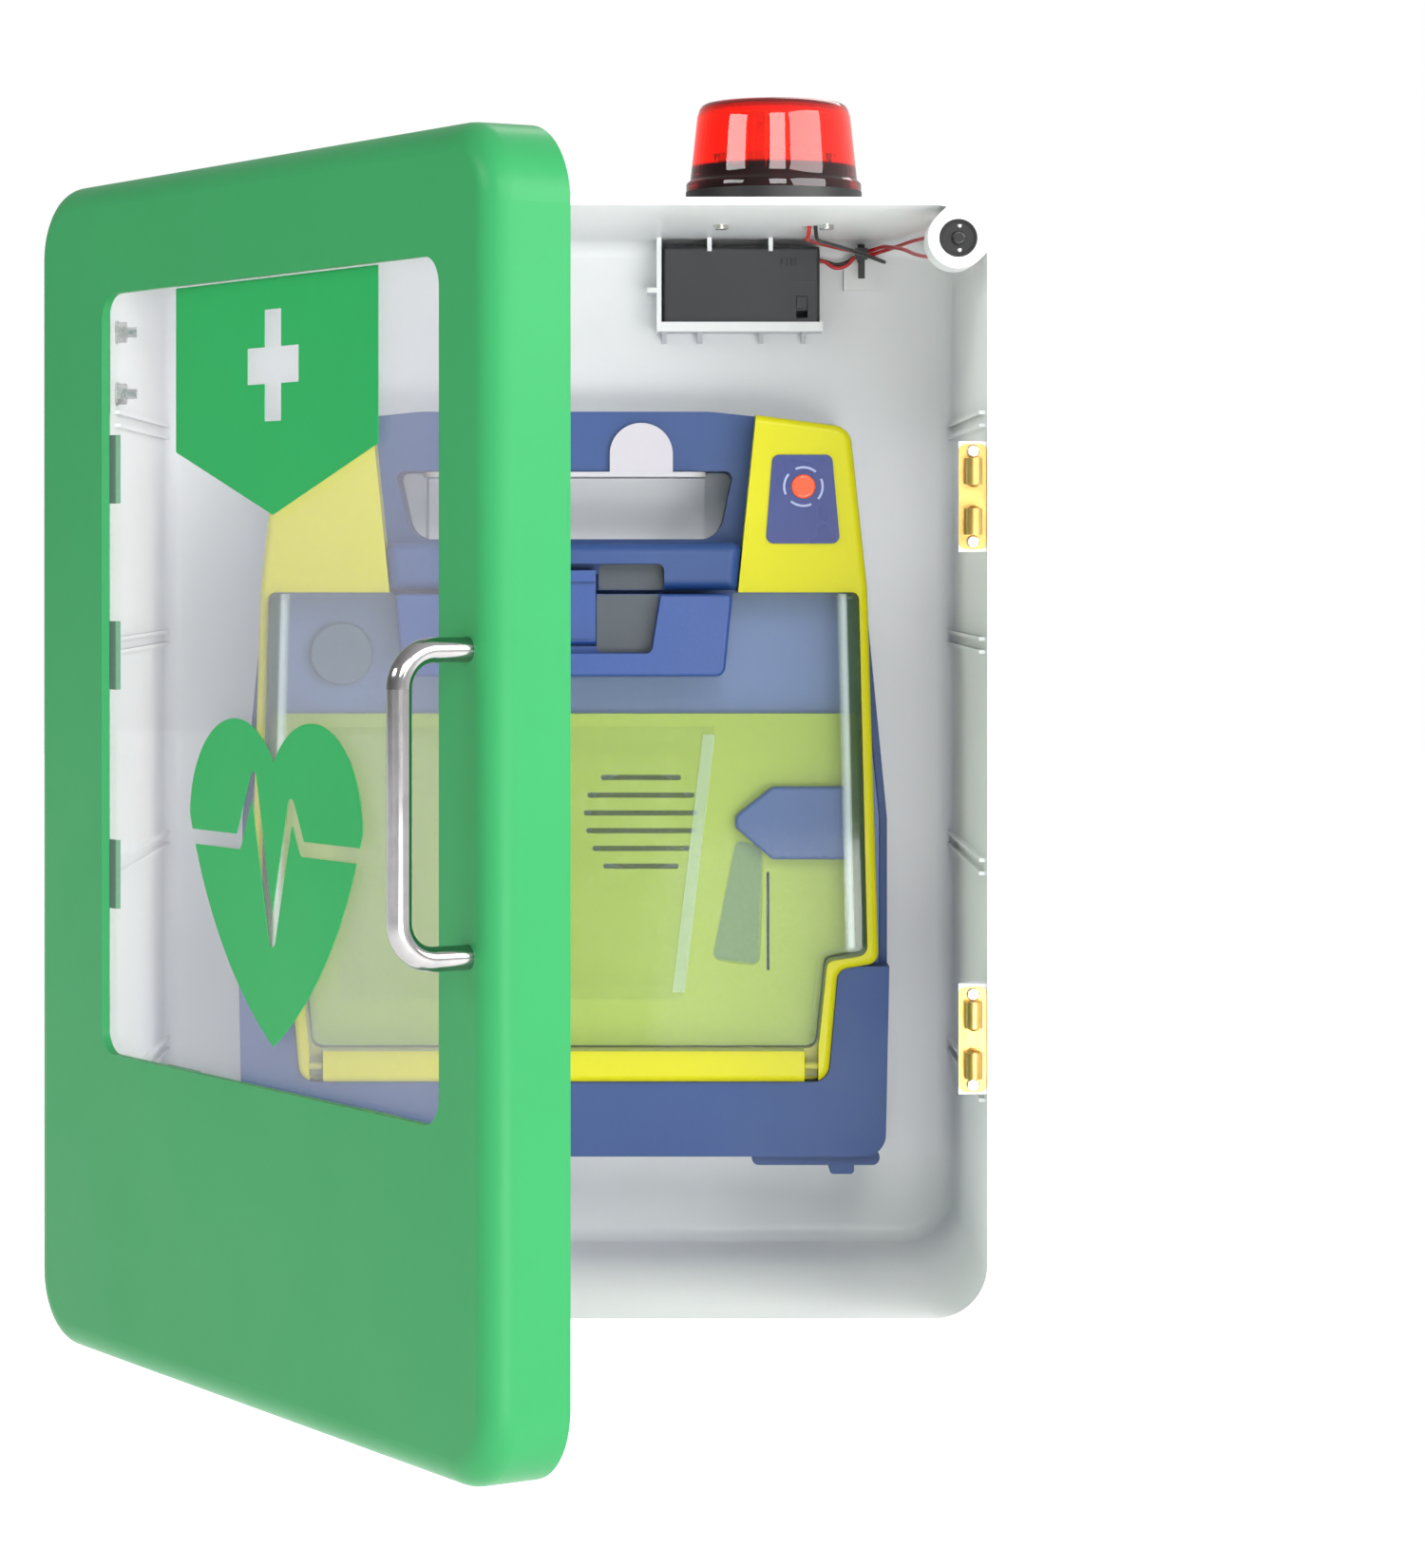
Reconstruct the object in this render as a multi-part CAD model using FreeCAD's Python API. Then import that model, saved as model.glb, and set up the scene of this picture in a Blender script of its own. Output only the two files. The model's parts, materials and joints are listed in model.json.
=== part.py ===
import FreeCAD, Part
import math
import os
from FreeCAD import Vector

# Wall cabinet with a hinged window door and a strobe, holding a defibrillator on a hook.
# Millimetres. Origin: centre of the four wall-screw holes at the cabinet's rear face.
# +X right, +Z up, the front faces -Y. The door is built closed, then turned to its rest angle.
# "u" runs across the door from its hinge side, "v" forward from the cabinet's rim,
# "t" forward from the defibrillator's rear, and "depth" backward from the cabinet's rim.

# ---- driving dimensions ----------------------------------------------------------------
# cabinet
cabinet_w, cabinet_h, cabinet_d = 340.0, 430.0, 195.0
wall = 3.0
cabinet_corner_r, cabinet_back_r = 23.5, 10.0
wall_screw_dx, wall_screw_dz, wall_screw_r = 200.0, 240.0, 2.75
rib_w, rib_out, rib_pitch, rib_from_rim = 1.4, 2.2, 5.0, 14.0
shelf_heights = (131.0, 44.0, -41.0, -128.0)
# door
door_t, door_gap, door_corner_r, door_edge_r = 30.0, 1.0, 26.5, 9.5
door_rest_deg = 57.9
hinge_stile, free_stile, top_rail, bottom_rail, window_r = 58.0, 32.4, 41.6, 112.6, 10.0
pane_t, pane_margin = 3.0, 8.0
clip_len, clip_reach, clip_tail, clip_t, clip_screw_dz = 25.0, 7.0, 8.0, 2.0, 8.0
clips_hinge_side, clips_free_side = (110.0, 42.0, -38.0), (110.0, 1.0, -78.0)
clips_top_bottom = (52.0, 197.0)
switch_pad_r = 5.0
# emblem on the pane
decal_t, decal_edge = 0.3, 0.6
banner_from_stile, banner_w, banner_side_drop, banner_tip_drop = 55.8, 148.7, 58.5, 81.2
cross_drop, cross_arm, cross_w = 30.4, 19.0, 12.5
heart_from_stile, heart_half_w, heart_lobe_u = 130.5, 63.5, 29.5
heart_top_z, heart_notch_z, heart_wide_z, heart_tip_z = 22.3, 7.9, -12.0, -88.2
heart_flank_z, heart_flank_share = -50.0, 0.68
pulse_line = ((-70, -20), (-26, -20), (-15, 2), (-1, -52), (13, -6), (21, -20), (70, -20))
pulse_half_w = 2.6
# door handle
handle_from_edge, handle_z, handle_span, handle_rod_r = 14.0, 1.0, 96.0, 4.0
handle_reach, handle_bend_r, handle_screw_r = 24.5, 12.0, 2.0
# hinges
hinge_from_end, hinge_len, hinge_pin_r, hinge_knuckle_wall = 62.5, 40.0, 2.0, 1.7
hinge_axis_front = 6.0
hinge_leaf_t, hinge_cabinet_leaf, hinge_door_leaf, hinge_leaf_corner = 3.0, 24.0, 14.0, 3.0
hinge_flap_t = 0.8
hinge_bolt_r, hinge_bolt_dz, hinge_bolt_depth, hinge_bolt_len = 2.0, 11.85, 18.0, 14.0
door_bolt_r, door_bolt_v, door_bolt_len = 1.5, 14.5, 10.0
# catches
catch_zs = (101.0, -106.0)
catch_w, catch_len, catch_plate_t, catch_depth, catch_corner = 10.7, 40.0, 1.4, 4.1, 2.5
catch_screw_end, catch_screw_head, catch_axis_out = 2.8, 2.4, 3.0
ball_r, ball_z, tube_r = 2.8, 6.2, 3.4
tube_mouth_z, tube_end_z, tube_lip, tube_lip_r = 4.6, 14.6, 0.4, 2.62
catch_spring_r, catch_spring_wire, catch_spring_turns = 1.9, 0.3, 5
tongue_w, tongue_bite = 5.0, 0.4
small_screw_r = 1.25
# door switch
switch_from_side, switch_from_top, switch_r = 14.1, 15.6, 7.25
switch_boss_r, switch_boss_d, switch_tail = 11.5, 26.0, 3.0
plunger_r, plunger_out, plunger_collar = 2.6, 2.5, 1.2
# strobe
strobe_from_side, strobe_depth, strobe_r, strobe_h = 81.4, 100.0, 35.5, 46.0
strobe_screw_pitch, strobe_gasket_t, strobe_flange_t = 42.6, 1.5, 8.5
strobe_screw_r, strobe_post_r = 1.5, 4.0
strobe_lens_top_r, strobe_lens_wall, strobe_hole_r = 30.5, 2.0, 4.5
strobe_hole_dx, strobe_hole_dy = 16.0, 9.0
lamp_r, lamp_h, strobe_board_lift, strobe_board_t = 7.5, 16.0, 6.0, 1.6
# battery box for the strobe
cell_r, cell_len, cell_gap = 7.25, 50.5, 0.15
bbox_from_side, bbox_from_top, bbox_wall, bbox_cover_t = 59.8, 6.5, 1.6, 4.0
bbox_room, switch_room, contact_room, bbox_travel = 0.8, 11.2, 1.4, 4.0
cradle_plate, gusset_h, cradle_clip_w = 2.0, 5.0, 1.8
# leads and their tie
lead_r = 0.8
tie_from_side, tie_from_inner_top, tie_y = 42.0, 5.6, -11.0
tie_band_w, tie_base_w, tie_base_t, tie_r = 3.0, 14.0, 4.0, 2.9
# hook bracket
hook_x, hook_t, hook_half_w, hook_z0, hook_screw_in = 3.5, 2.0, 58.5, 60.0, 8.0
tab_dx, tab_half_w, tab_top_z = 31.65, 13.0, 133.3
# defibrillator
aed_rear_gap, shell = 0.5, 3.0
base_t, ring_rise, lid_rise = 48.0, 22.0, 5.5
base_half_w, base_low_half_w, base_low_z = 133.2, 131.6, -167.3
foot_x0, foot_x1, foot_z = 77.0, 129.5, -171.6
nub_x0, nub_x1, nub_z = 109.0, 119.0, -175.2
case_screw_r = 1.5
grip_z0, grip_z1, grip_half_top, grip_half_bottom = 85.3, 113.4, 70.0, 64.0
lid_top_z, lid_bottom_z, lid_wall, lid_gap = 63.0, -123.8, 2.5, 0.5
lid_hinge_z, lid_hinge_in, lid_pin_r, lid_barrel_r = -130.2, 4.0, 1.5, 4.0
lid_ear_x, lid_ear_w, lid_pin_end, lid_pin_len = 98.9, 4.5, 107.6, 12.4
latch_panel_z, latch_panel_in = 29.4, 6.0
latch_half_w, latch_z1, latch_axis_z, latch_axis_in = 13.0, 75.0, 44.0, 4.5
latch_recess_top, latch_recess_bottom, latch_recess_z = 41.0, 35.9, 38.6
status_x, status_z, status_t = 97.8, 106.7, 0.8
panel_t, zone_z = 3.0, 13.5
cover_h, cover_gap, cover_wall, cover_skin = 7.6, 0.8, 2.0, 2.5
lead_pocket = ((70.0, -38.0, 3.0), (82.0, -40.0, 3.0), (80.5, -90.5, 4.0), (60.0, -88.0, 5.0))
lead_pocket_d, slit_x0, slit_x1, slit_z0, slit_z1 = 1.3, 83.2, 84.4, -92.0, -51.7
speaker_x, speaker_z, speaker_r = 31.5, -31.0, 25.0
slot_half_w = (16.5, 22.0, 23.5, 22.5, 20.0, 15.5)
slot_pitch, slot_h = 7.3, 2.2
shock_x, shock_z, shock_r, shock_out = -92.0, 38.0, 13.0, 4.5
pack_in, pack_x1, pack_z0, pack_z1, pack_t0, pack_below = 1.7, -75.0, -75.0, -15.0, 6.0, 6.0
standoff_xs, standoff_zs, standoff_h = (-54.0, 84.0), (-94.0, 4.0), 18.0
capacitor_r, capacitor_len = 17.0, 74.0
pouch_t, plug_t, plug_x1 = 9.0, 8.5, 118.0
# clearances
touch, free, snug = 0.05, 0.3, 0.02

# ---- values that follow ----------------------------------------------------------------
left, right, top, bottom = -cabinet_w / 2, cabinet_w / 2, cabinet_h / 2, -cabinet_h / 2
rim_y = -cabinet_d
inner_back, inner_right, inner_top = -wall, right - wall, top - wall
window_u0, window_u1 = hinge_stile, cabinet_w - free_stile
window_z0, window_z1 = bottom + bottom_rail, top - top_rail
banner_u0 = window_u0 + banner_from_stile
banner_u1 = banner_u0 + banner_w
banner_side_z, banner_tip_z = window_z1 - banner_side_drop, window_z1 - banner_tip_drop
cross_z = window_z1 - cross_drop
heart_u = window_u0 + heart_from_stile
handle_u = cabinet_w - handle_from_edge
hinge_knuckle_r = hinge_pin_r + hinge_knuckle_wall
hinge_z = cabinet_h / 2 - hinge_from_end
hinge_x, hinge_y = left - hinge_knuckle_r - free, rim_y - hinge_axis_front
skin_v = door_t - wall
catch_x = inner_right - catch_w / 2 - touch
catch_y = rim_y + catch_depth - catch_plate_t - catch_axis_out
catch_post_v = rim_y - catch_y + tube_r + free + catch_plate_t
switch_x, switch_z = right - switch_from_side, top - switch_from_top
strobe_x = right - strobe_from_side
bbox_w = 2 * bbox_wall + contact_room + cell_len + switch_room
spine_half = 0.3
cell_dz = cell_r + spine_half + cell_gap
bbox_h = 2 * (cell_dz + cell_r + 0.2 + bbox_wall)
bbox_t = 2 * (cell_r + bbox_wall + bbox_room) + free
bbox_x1, bbox_z1 = right - bbox_from_side, top - bbox_from_top
bbox_x0, bbox_z0 = bbox_x1 - bbox_w, bbox_z1 - bbox_h
wire_hole_z = bbox_z1 - 5.5
tie_x, tie_z = right - tie_from_side, inner_top - tie_from_inner_top
aed_x = hook_x
aed_rear = inner_back - hook_t - aed_rear_gap
ledge_z = grip_z1 - free
ring_t = base_t + ring_rise
lid_t = ring_t + lid_rise
lid_hinge_t = ring_t - lid_hinge_in
latch_axis_t = ring_t - latch_axis_in
cover_t = base_t + cover_h
pack_x0, pack_t1 = pack_in - base_half_w, base_t - pack_below
AX, AY, AZ = Vector(1, 0, 0), Vector(0, 1, 0), Vector(0, 0, 1)
os.makedirs("parts", exist_ok=True)


# ---- shape helpers ---------------------------------------------------------------------
def box(x0, x1, y0, y1, z0, z1):
    low = Vector(min(x0, x1), min(y0, y1), min(z0, z1))
    return Part.makeBox(abs(x1 - x0), abs(y1 - y0), abs(z1 - z0), low)


def rod(r, start, axis, length):
    return Part.makeCylinder(r, length, start, axis)


def tube(r, bore, start, axis, length):
    inner = rod(bore, start - axis, axis, length + 2)
    return rod(r, start, axis, length).cut(inner)


def fuse(shapes):
    shapes = list(shapes)
    if len(shapes) == 1:
        return shapes[0]
    return shapes[0].fuse(shapes[1:]).removeSplitter()


def cut(shape, tools):
    return shape.cut(list(tools))


def save(node, *solids):
    """Write one node: every solid of the given shapes, side by side."""
    found = [s for shape in solids for s in shape.Solids]
    whole = found[0] if len(found) == 1 else Part.makeCompound(found)
    whole.exportStep("parts/%s.step" % node)


def outline(points):
    """Closed wire in the XZ plane. Each point is (x, z) or (x, z, corner radius)."""
    corners = [(Vector(p[0], 0, p[1]), p[2] if len(p) > 2 else 0.0) for p in points]
    edges, ends = [], []
    for i, (here, r) in enumerate(corners):
        before = (corners[i - 1][0] - here).normalize()
        after = (corners[(i + 1) % len(corners)][0] - here).normalize()
        if r == 0:
            ends.append((here, here, None))
            continue
        half = before.getAngle(after) / 2
        reach = r / math.tan(half)
        centre = here + (before + after).normalize() * (r / math.sin(half))
        middle = centre + (here - centre).normalize() * r
        ends.append((here + before * reach, here + after * reach, middle))
    for i, (start, stop, middle) in enumerate(ends):
        if middle is not None:
            edges.append(Part.Arc(start, middle, stop).toShape())
        following = ends[(i + 1) % len(ends)][0]
        edges.append(Part.LineSegment(stop, following).toShape())
    return Part.Wire(edges)


def prism(wire, y0, y1):
    low, high = min(y0, y1), max(y0, y1)
    face = Part.Face(wire)
    solid = face.extrude(Vector(0, high - low, 0))
    solid.translate(Vector(0, low, 0))
    return solid


def soften(shape, radius, wanted):
    edges = [e for e in shape.Edges if wanted(e)]
    return shape.makeFillet(radius, edges)


def along(axis):
    def test(edge):
        if not isinstance(edge.Curve, (Part.Line, Part.LineSegment)):
            return False
        return abs(abs(edge.tangentAt(edge.FirstParameter).dot(axis)) - 1) < 1e-6
    return test


def in_plane(axis, value):
    def test(edge):
        return all(abs(v.Point.dot(axis) - value) < 1e-4 for v in edge.Vertexes)
    return test


def tray_block(x0, x1, y0, y1, z0, z1, corner, edge, edge_y):
    """Box with rounded corners in the front view and a rounded edge round one Y face."""
    block = soften(box(x0, x1, y0, y1, z0, z1), corner, along(AY))
    return soften(block, edge, in_plane(AY, edge_y))


def screw(point, axis, shank_r, length, head_r, head_h):
    """Pan-head screw: the head's underside is at point, the shank runs along axis."""
    head = rod(head_r, point - axis * head_h, axis, head_h)
    head = soften(head, head_h * 0.4, in_plane(axis, (point - axis * head_h).dot(axis)))
    slot = head_r * 0.6
    slot_box = Part.makeBox(2 * slot, 0.6, head_h, Vector(-slot, -0.3, 0))
    slot_cross = slot_box.fuse(Part.makeBox(0.6, 2 * slot, head_h, Vector(-0.3, -slot, 0)))
    slot_cross.Placement = FreeCAD.Placement(
        point - axis * (head_h * 1.5), FreeCAD.Rotation(AZ, axis))
    return rod(shank_r, point, axis, length).fuse(head.cut(slot_cross))


def hexagon(point, axis, across, height):
    r = across / math.sqrt(3)
    corners = [Vector(r * math.cos(math.radians(60 * i)), r * math.sin(math.radians(60 * i)), 0)
               for i in range(7)]
    nut = Part.Face(Part.makePolygon(corners)).extrude(Vector(0, 0, height))
    nut.Placement = FreeCAD.Placement(point, FreeCAD.Rotation(AZ, axis))
    return nut


def coil(radius, wire_r, start, axis, length, turns):
    """Compression spring along axis, built at the origin and then placed."""
    pitch = (length - 2 * wire_r) / turns
    helix = Part.makeHelix(pitch, length - 2 * wire_r, radius)
    section = Part.Wire(Part.makeCircle(wire_r, Vector(radius, 0, 0), AY))
    spring = Part.Wire(helix).makePipeShell([section], True, True)
    spring.translate(Vector(0, 0, wire_r))
    spring.Placement = FreeCAD.Placement(start, FreeCAD.Rotation(AZ, axis)).multiply(
        spring.Placement)
    return spring


def lead(name, points):
    """Round lead along straight runs joined by tangent arcs, each as large as its runs allow."""
    pts = [Vector(*p) for p in points]
    edges, here, radii = [], pts[0], []
    for i in range(1, len(pts) - 1):
        before = pts[i - 1] - pts[i]
        after = pts[i + 1] - pts[i]
        shorter = min(before.Length, after.Length)
        half = before.getAngle(after) / 2
        reach = 0.45 * shorter
        r = reach * math.tan(half)
        b, a = before.normalize(), after.normalize()
        centre = pts[i] + (a + b).normalize() * (r / math.sin(half))
        middle = centre + (pts[i] - centre).normalize() * r
        start, stop = pts[i] + b * reach, pts[i] + a * reach
        edges.append(Part.LineSegment(here, start).toShape())
        edges.append(Part.Arc(start, middle, stop).toShape())
        here = stop
        radii.append(r)
    edges.append(Part.LineSegment(here, pts[-1]).toShape())
    path = Part.Wire(edges)
    section = Part.Wire(Part.makeCircle(lead_r, pts[0], pts[1] - pts[0]))
    solid = path.makePipeShell([section], True, False)
    expected = math.pi * lead_r ** 2 * path.Length
    print("%s: length %.1f, radii %s, volume ratio %.4f" % (
        name, path.Length, ["%.1f" % r for r in radii], solid.Volume / expected))
    return solid


# ---- cabinet ---------------------------------------------------------------------------
def depth(y_behind_rim):
    return rim_y + y_behind_rim


def envelope():
    return tray_block(left, right, rim_y, 0, bottom, top, cabinet_corner_r, cabinet_back_r, 0)


def strobe_screws_x():
    return strobe_x - strobe_screw_pitch / 2, strobe_x + strobe_screw_pitch / 2


def hinge_bolt_heights():
    return [side * hinge_z + dz for side in (1, -1) for dz in (hinge_bolt_dz, -hinge_bolt_dz)]


def shelf_guides():
    """Pairs of ribs along both side walls, from near the rim to the back."""
    ribs = []
    for z in shelf_heights:
        for dz in (rib_pitch / 2, -rib_pitch / 2):
            z0, z1 = z + dz - rib_w / 2, z + dz + rib_w / 2
            for side in (-1, 1):
                x = side * inner_right
                ribs.append(box(x - side * rib_out, x + side, depth(rib_from_rim), inner_back + 1, z0, z1))
    return ribs


def cradle():
    """Moulded seat for the battery box on the back wall: plate, ledge, gussets and clips."""
    front = inner_back - bbox_t
    x0, x1 = bbox_x0 - free, bbox_x1 + 1.0
    ledge_top = bbox_z0 - free
    ledge_low = ledge_top - cradle_plate
    lip = front - free - cradle_plate
    pieces = [
        box(x0 - cradle_plate, x0, lip, 0, ledge_low, inner_top + 1),
        box(x0 - cradle_plate, x1, lip, 0, ledge_low, ledge_top),
        box(x0 - 1, x1, lip, lip + cradle_plate, ledge_low, ledge_top + 2),
        box(x0 - cradle_plate - 4, x0, lip, -1, bbox_z0 + 14, bbox_z0 + 16),
    ]
    for x in (bbox_x0 + 2, bbox_x0 + 17, bbox_x1 - 23.3, bbox_x1 - 5.3):
        corners = [(0, ledge_low + 0.5), (front + 2, ledge_low + 0.5), (0, ledge_low - gusset_h)]
        web = prism(outline(corners), 0, cradle_plate)
        web.rotate(Vector(0, 0, 0), AZ, 90)
        web.translate(Vector(x, 0, 0))
        pieces.append(web)
    for x in (bbox_x0 + 19.0, bbox_x1 - 21.6):
        x_end = x + cradle_clip_w
        pieces.append(box(x, x_end, lip, -1, bbox_z1 + free, inner_top + 1))
        pieces.append(box(x, x_end, lip, lip + cradle_plate, bbox_z1 - 2, inner_top + 1))
    return pieces


def switch_boss():
    axis_point = Vector(switch_x, rim_y, switch_z)
    core = rod(switch_boss_r, axis_point, AY, switch_boss_d)
    flank = box(0, 40, 0, switch_boss_d, -switch_boss_r, switch_boss_r)
    flank.rotate(Vector(0, 0, 0), AY, -45)
    flank.translate(axis_point)
    return core.fuse(flank).common(envelope())


def catch_bosses():
    x0 = catch_x - catch_w / 2
    y0 = depth(catch_depth)
    pieces = []
    for z in catch_zs:
        block = box(x0, inner_right + 1, y0, y0 + 12, z - catch_len / 2 - 1, z + catch_len / 2 + 1)
        ramp = box(x0 - 20, x0, y0 - 1, y0 + 30, z - catch_len, z + catch_len)
        ramp.rotate(Vector(x0, y0 + 3, z), AZ, -35)
        pieces.append(block.cut(ramp))
    return pieces


def housing():
    hollow = tray_block(left + wall, right - wall, rim_y - 20, inner_back, bottom + wall,
                        top - wall, cabinet_corner_r - wall, cabinet_back_r - wall, inner_back)
    body = envelope().cut(hollow)
    seat = fuse(cradle()).common(envelope())
    body = fuse([body, switch_boss(), seat] + shelf_guides() + catch_bosses())
    holes = [rod(wall_screw_r, Vector(sx * wall_screw_dx / 2, -wall - 1, sz * wall_screw_dz / 2),
                 AY, wall + 2) for sx in (-1, 1) for sz in (-1, 1)]
    beacon_y = depth(strobe_depth)
    hole_start = Vector(strobe_x + strobe_hole_dx, beacon_y + strobe_hole_dy, inner_top - 1)
    holes.append(rod(strobe_hole_r, hole_start, AZ, wall + 2))
    for x in strobe_screws_x():
        holes.append(rod(strobe_screw_r + 2 * touch, Vector(x, beacon_y, inner_top - 1), AZ, wall + 2))
    for z in hinge_bolt_heights():
        start = Vector(left - 1, depth(hinge_bolt_depth), z)
        holes.append(rod(hinge_bolt_r + touch, start, AX, wall + 2))
    switch_start = Vector(switch_x, rim_y - 1, switch_z)
    holes.append(rod(switch_r + touch, switch_start, AY, switch_boss_d + 2))
    for z in catch_screw_heights():
        holes.append(rod(small_screw_r + touch, Vector(catch_x, depth(catch_depth) - 1, z), AY, 9))
    for x in hook_screws_x():
        start = Vector(x, inner_back - 1, hook_screw_z())
        holes.append(rod(small_screw_r + touch, start, AY, wall))
    save("cabinet_housing", cut(body, holes))


def catch_screw_heights():
    return [z + side * (catch_len / 2 - catch_screw_end) for z in catch_zs for side in (-1, 1)]


def hook_screws_x():
    return hook_x - hook_half_w + hook_screw_in, hook_x + hook_half_w - hook_screw_in


def hook_screw_z():
    return (hook_z0 + ledge_z) / 2 - 8


def hook_bracket():
    """Folded sheet: a plate on the wall, a ledge through the grip and two tabs before it."""
    x0, x1 = hook_x - hook_half_w, hook_x + hook_half_w
    tab_y = aed_rear - base_t - 1.0
    plate = soften(box(x0, x1, inner_back - hook_t, inner_back, hook_z0, ledge_z), 6,
                   lambda e: along(AY)(e) and e.BoundBox.ZMax < hook_z0 + 1)
    ledge = box(x0, x1, tab_y - hook_t, inner_back, ledge_z - hook_t, ledge_z)
    ledge = soften(ledge, 8, lambda e: along(AZ)(e) and e.BoundBox.YMax < tab_y)
    pieces = [plate, ledge]
    for side in (-1, 1):
        x = hook_x + side * tab_dx
        x0, x1, round_r = x - tab_half_w, x + tab_half_w, tab_half_w - 0.1
        tab = outline([(x0, ledge_z - hook_t), (x0, tab_top_z, round_r),
                       (x1, tab_top_z, round_r), (x1, ledge_z - hook_t)])
        pieces.append(prism(tab, tab_y - hook_t, tab_y))
    bracket = fuse(pieces)
    holes = []
    for x in hook_screws_x():
        start = Vector(x, inner_back - hook_t - 1, hook_screw_z())
        holes.append(rod(small_screw_r + 2 * touch, start, AY, hook_t + 2))
        holes.append(rod(3.2, start, AY, 1 + 1.5))
    save("hook_bracket", cut(bracket, holes))


def cabinet_screws():
    """Bracket screws, sunk into the plate, and the catches' screws."""
    screws = [screw(Vector(x, inner_back - 0.5, hook_screw_z()), AY, small_screw_r, 2.2, 3.0, 1.3)
              for x in hook_screws_x()]
    for z in catch_screw_heights():
        point = Vector(catch_x, depth(catch_depth) - catch_plate_t, z)
        screws.append(screw(point, AY, small_screw_r, 9, catch_screw_head, 1.4))
    save("cabinet_screws", *screws)


# ---- hinges ----------------------------------------------------------------------------
def knuckle(z0, z1):
    start = Vector(hinge_x, hinge_y, z0)
    return tube(hinge_knuckle_r, hinge_pin_r + touch, start, AZ, z1 - z0)


def hinge_gap_half():
    return hinge_len * 0.3


def hinges():
    cabinet_leaves, door_leaves, pins, bolts, nuts, door_bolts = [], [], [], [], [], []
    half, mid = hinge_len / 2, hinge_gap_half()
    x_out = left - hinge_leaf_t
    clear_y = rim_y - hinge_axis_front + hinge_knuckle_r + free
    pin_space = rod(hinge_pin_r + touch, Vector(hinge_x, hinge_y, -cabinet_h), AZ, 2 * cabinet_h)
    for side in (1, -1):
        zc = side * hinge_z
        plate = box(x_out, left, clear_y + free, rim_y + hinge_cabinet_leaf, zc - half, zc + half)
        plate = soften(plate, hinge_leaf_corner, lambda e: along(AX)(e) and e.BoundBox.YMin > rim_y)
        over_door = box(left - free, left + 1, rim_y - 12, rim_y, zc - half - 1, zc + half + 1)
        pieces = [plate]
        for z0, z1 in ((zc - half, zc - mid), (zc + mid, zc + half)):
            pieces.append(knuckle(z0, z1))
            neck = box(x_out - 0.7, left - free, hinge_y, clear_y + 1, z0, z1)
            pieces.append(neck.cut(pin_space))
        flap = box(left - 1, left + wall, rim_y - touch - hinge_flap_t, rim_y - touch, zc - half, zc + half)
        leaf = fuse([fuse(pieces).cut(over_door), flap])
        door_plate_z = mid - free
        y_plate = hinge_y - hinge_knuckle_r - free
        door_plate = box(x_out, left, rim_y - hinge_axis_front - hinge_door_leaf, y_plate,
                         zc - half, zc + half)
        door_plate = soften(door_plate, hinge_leaf_corner,
                            lambda e: along(AX)(e) and e.BoundBox.YMax < y_plate - 1)
        door_neck = box(x_out, left - snug, y_plate - 1, hinge_y, zc - door_plate_z, zc + door_plate_z)
        door_leaf = fuse([door_plate, knuckle(zc - door_plate_z, zc + door_plate_z),
                          door_neck.cut(pin_space)])
        pins.append(rod(hinge_pin_r, Vector(hinge_x, hinge_y, zc - half - 0.5), AZ, hinge_len + 1))
        y_bolt, y_door_bolt = depth(hinge_bolt_depth), rim_y - door_bolt_v
        for dz in (hinge_bolt_dz, -hinge_bolt_dz):
            z = zc + dz
            hole = rod(hinge_bolt_r + touch, Vector(x_out - 1, y_bolt, z), AX, hinge_leaf_t + 2)
            leaf = leaf.cut(hole)
            bolts.append(screw(Vector(x_out, y_bolt, z), AX, hinge_bolt_r, hinge_bolt_len, 3.5, 2.4))
            inside = Vector(left + wall, y_bolt, z)
            washer = rod(4.5, inside, AX, 1.0)
            nut = washer.fuse(hexagon(inside + AX, AX, 7.0, 3.2))
            nuts.append(nut.cut(rod(hinge_bolt_r + touch, inside - AX, AX, 10)))
            hole = rod(door_bolt_r + touch, Vector(x_out - 1, y_door_bolt, z), AX, hinge_leaf_t + 2)
            door_leaf = door_leaf.cut(hole)
            door_bolts.append(screw(Vector(x_out, y_door_bolt, z), AX, door_bolt_r, door_bolt_len, 2.8, 1.8))
            inside = Vector(left + wall, y_door_bolt, z)
            nut = hexagon(inside, AX, 5.5, 2.4).cut(rod(door_bolt_r + touch, inside - AX, AX, 6))
            door_bolts.append(nut)
        cabinet_leaves.append(leaf)
        door_leaves.append(door_leaf)
    save("hinge_cabinet_leaves", *cabinet_leaves)
    save("hinge_pins", *pins)
    save("hinge_bolts", *(bolts + nuts))
    save("hinge_door_leaves", *[at_rest(s) for s in door_leaves])
    save("hinge_door_bolts", *[at_rest(s) for s in door_bolts])


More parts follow.
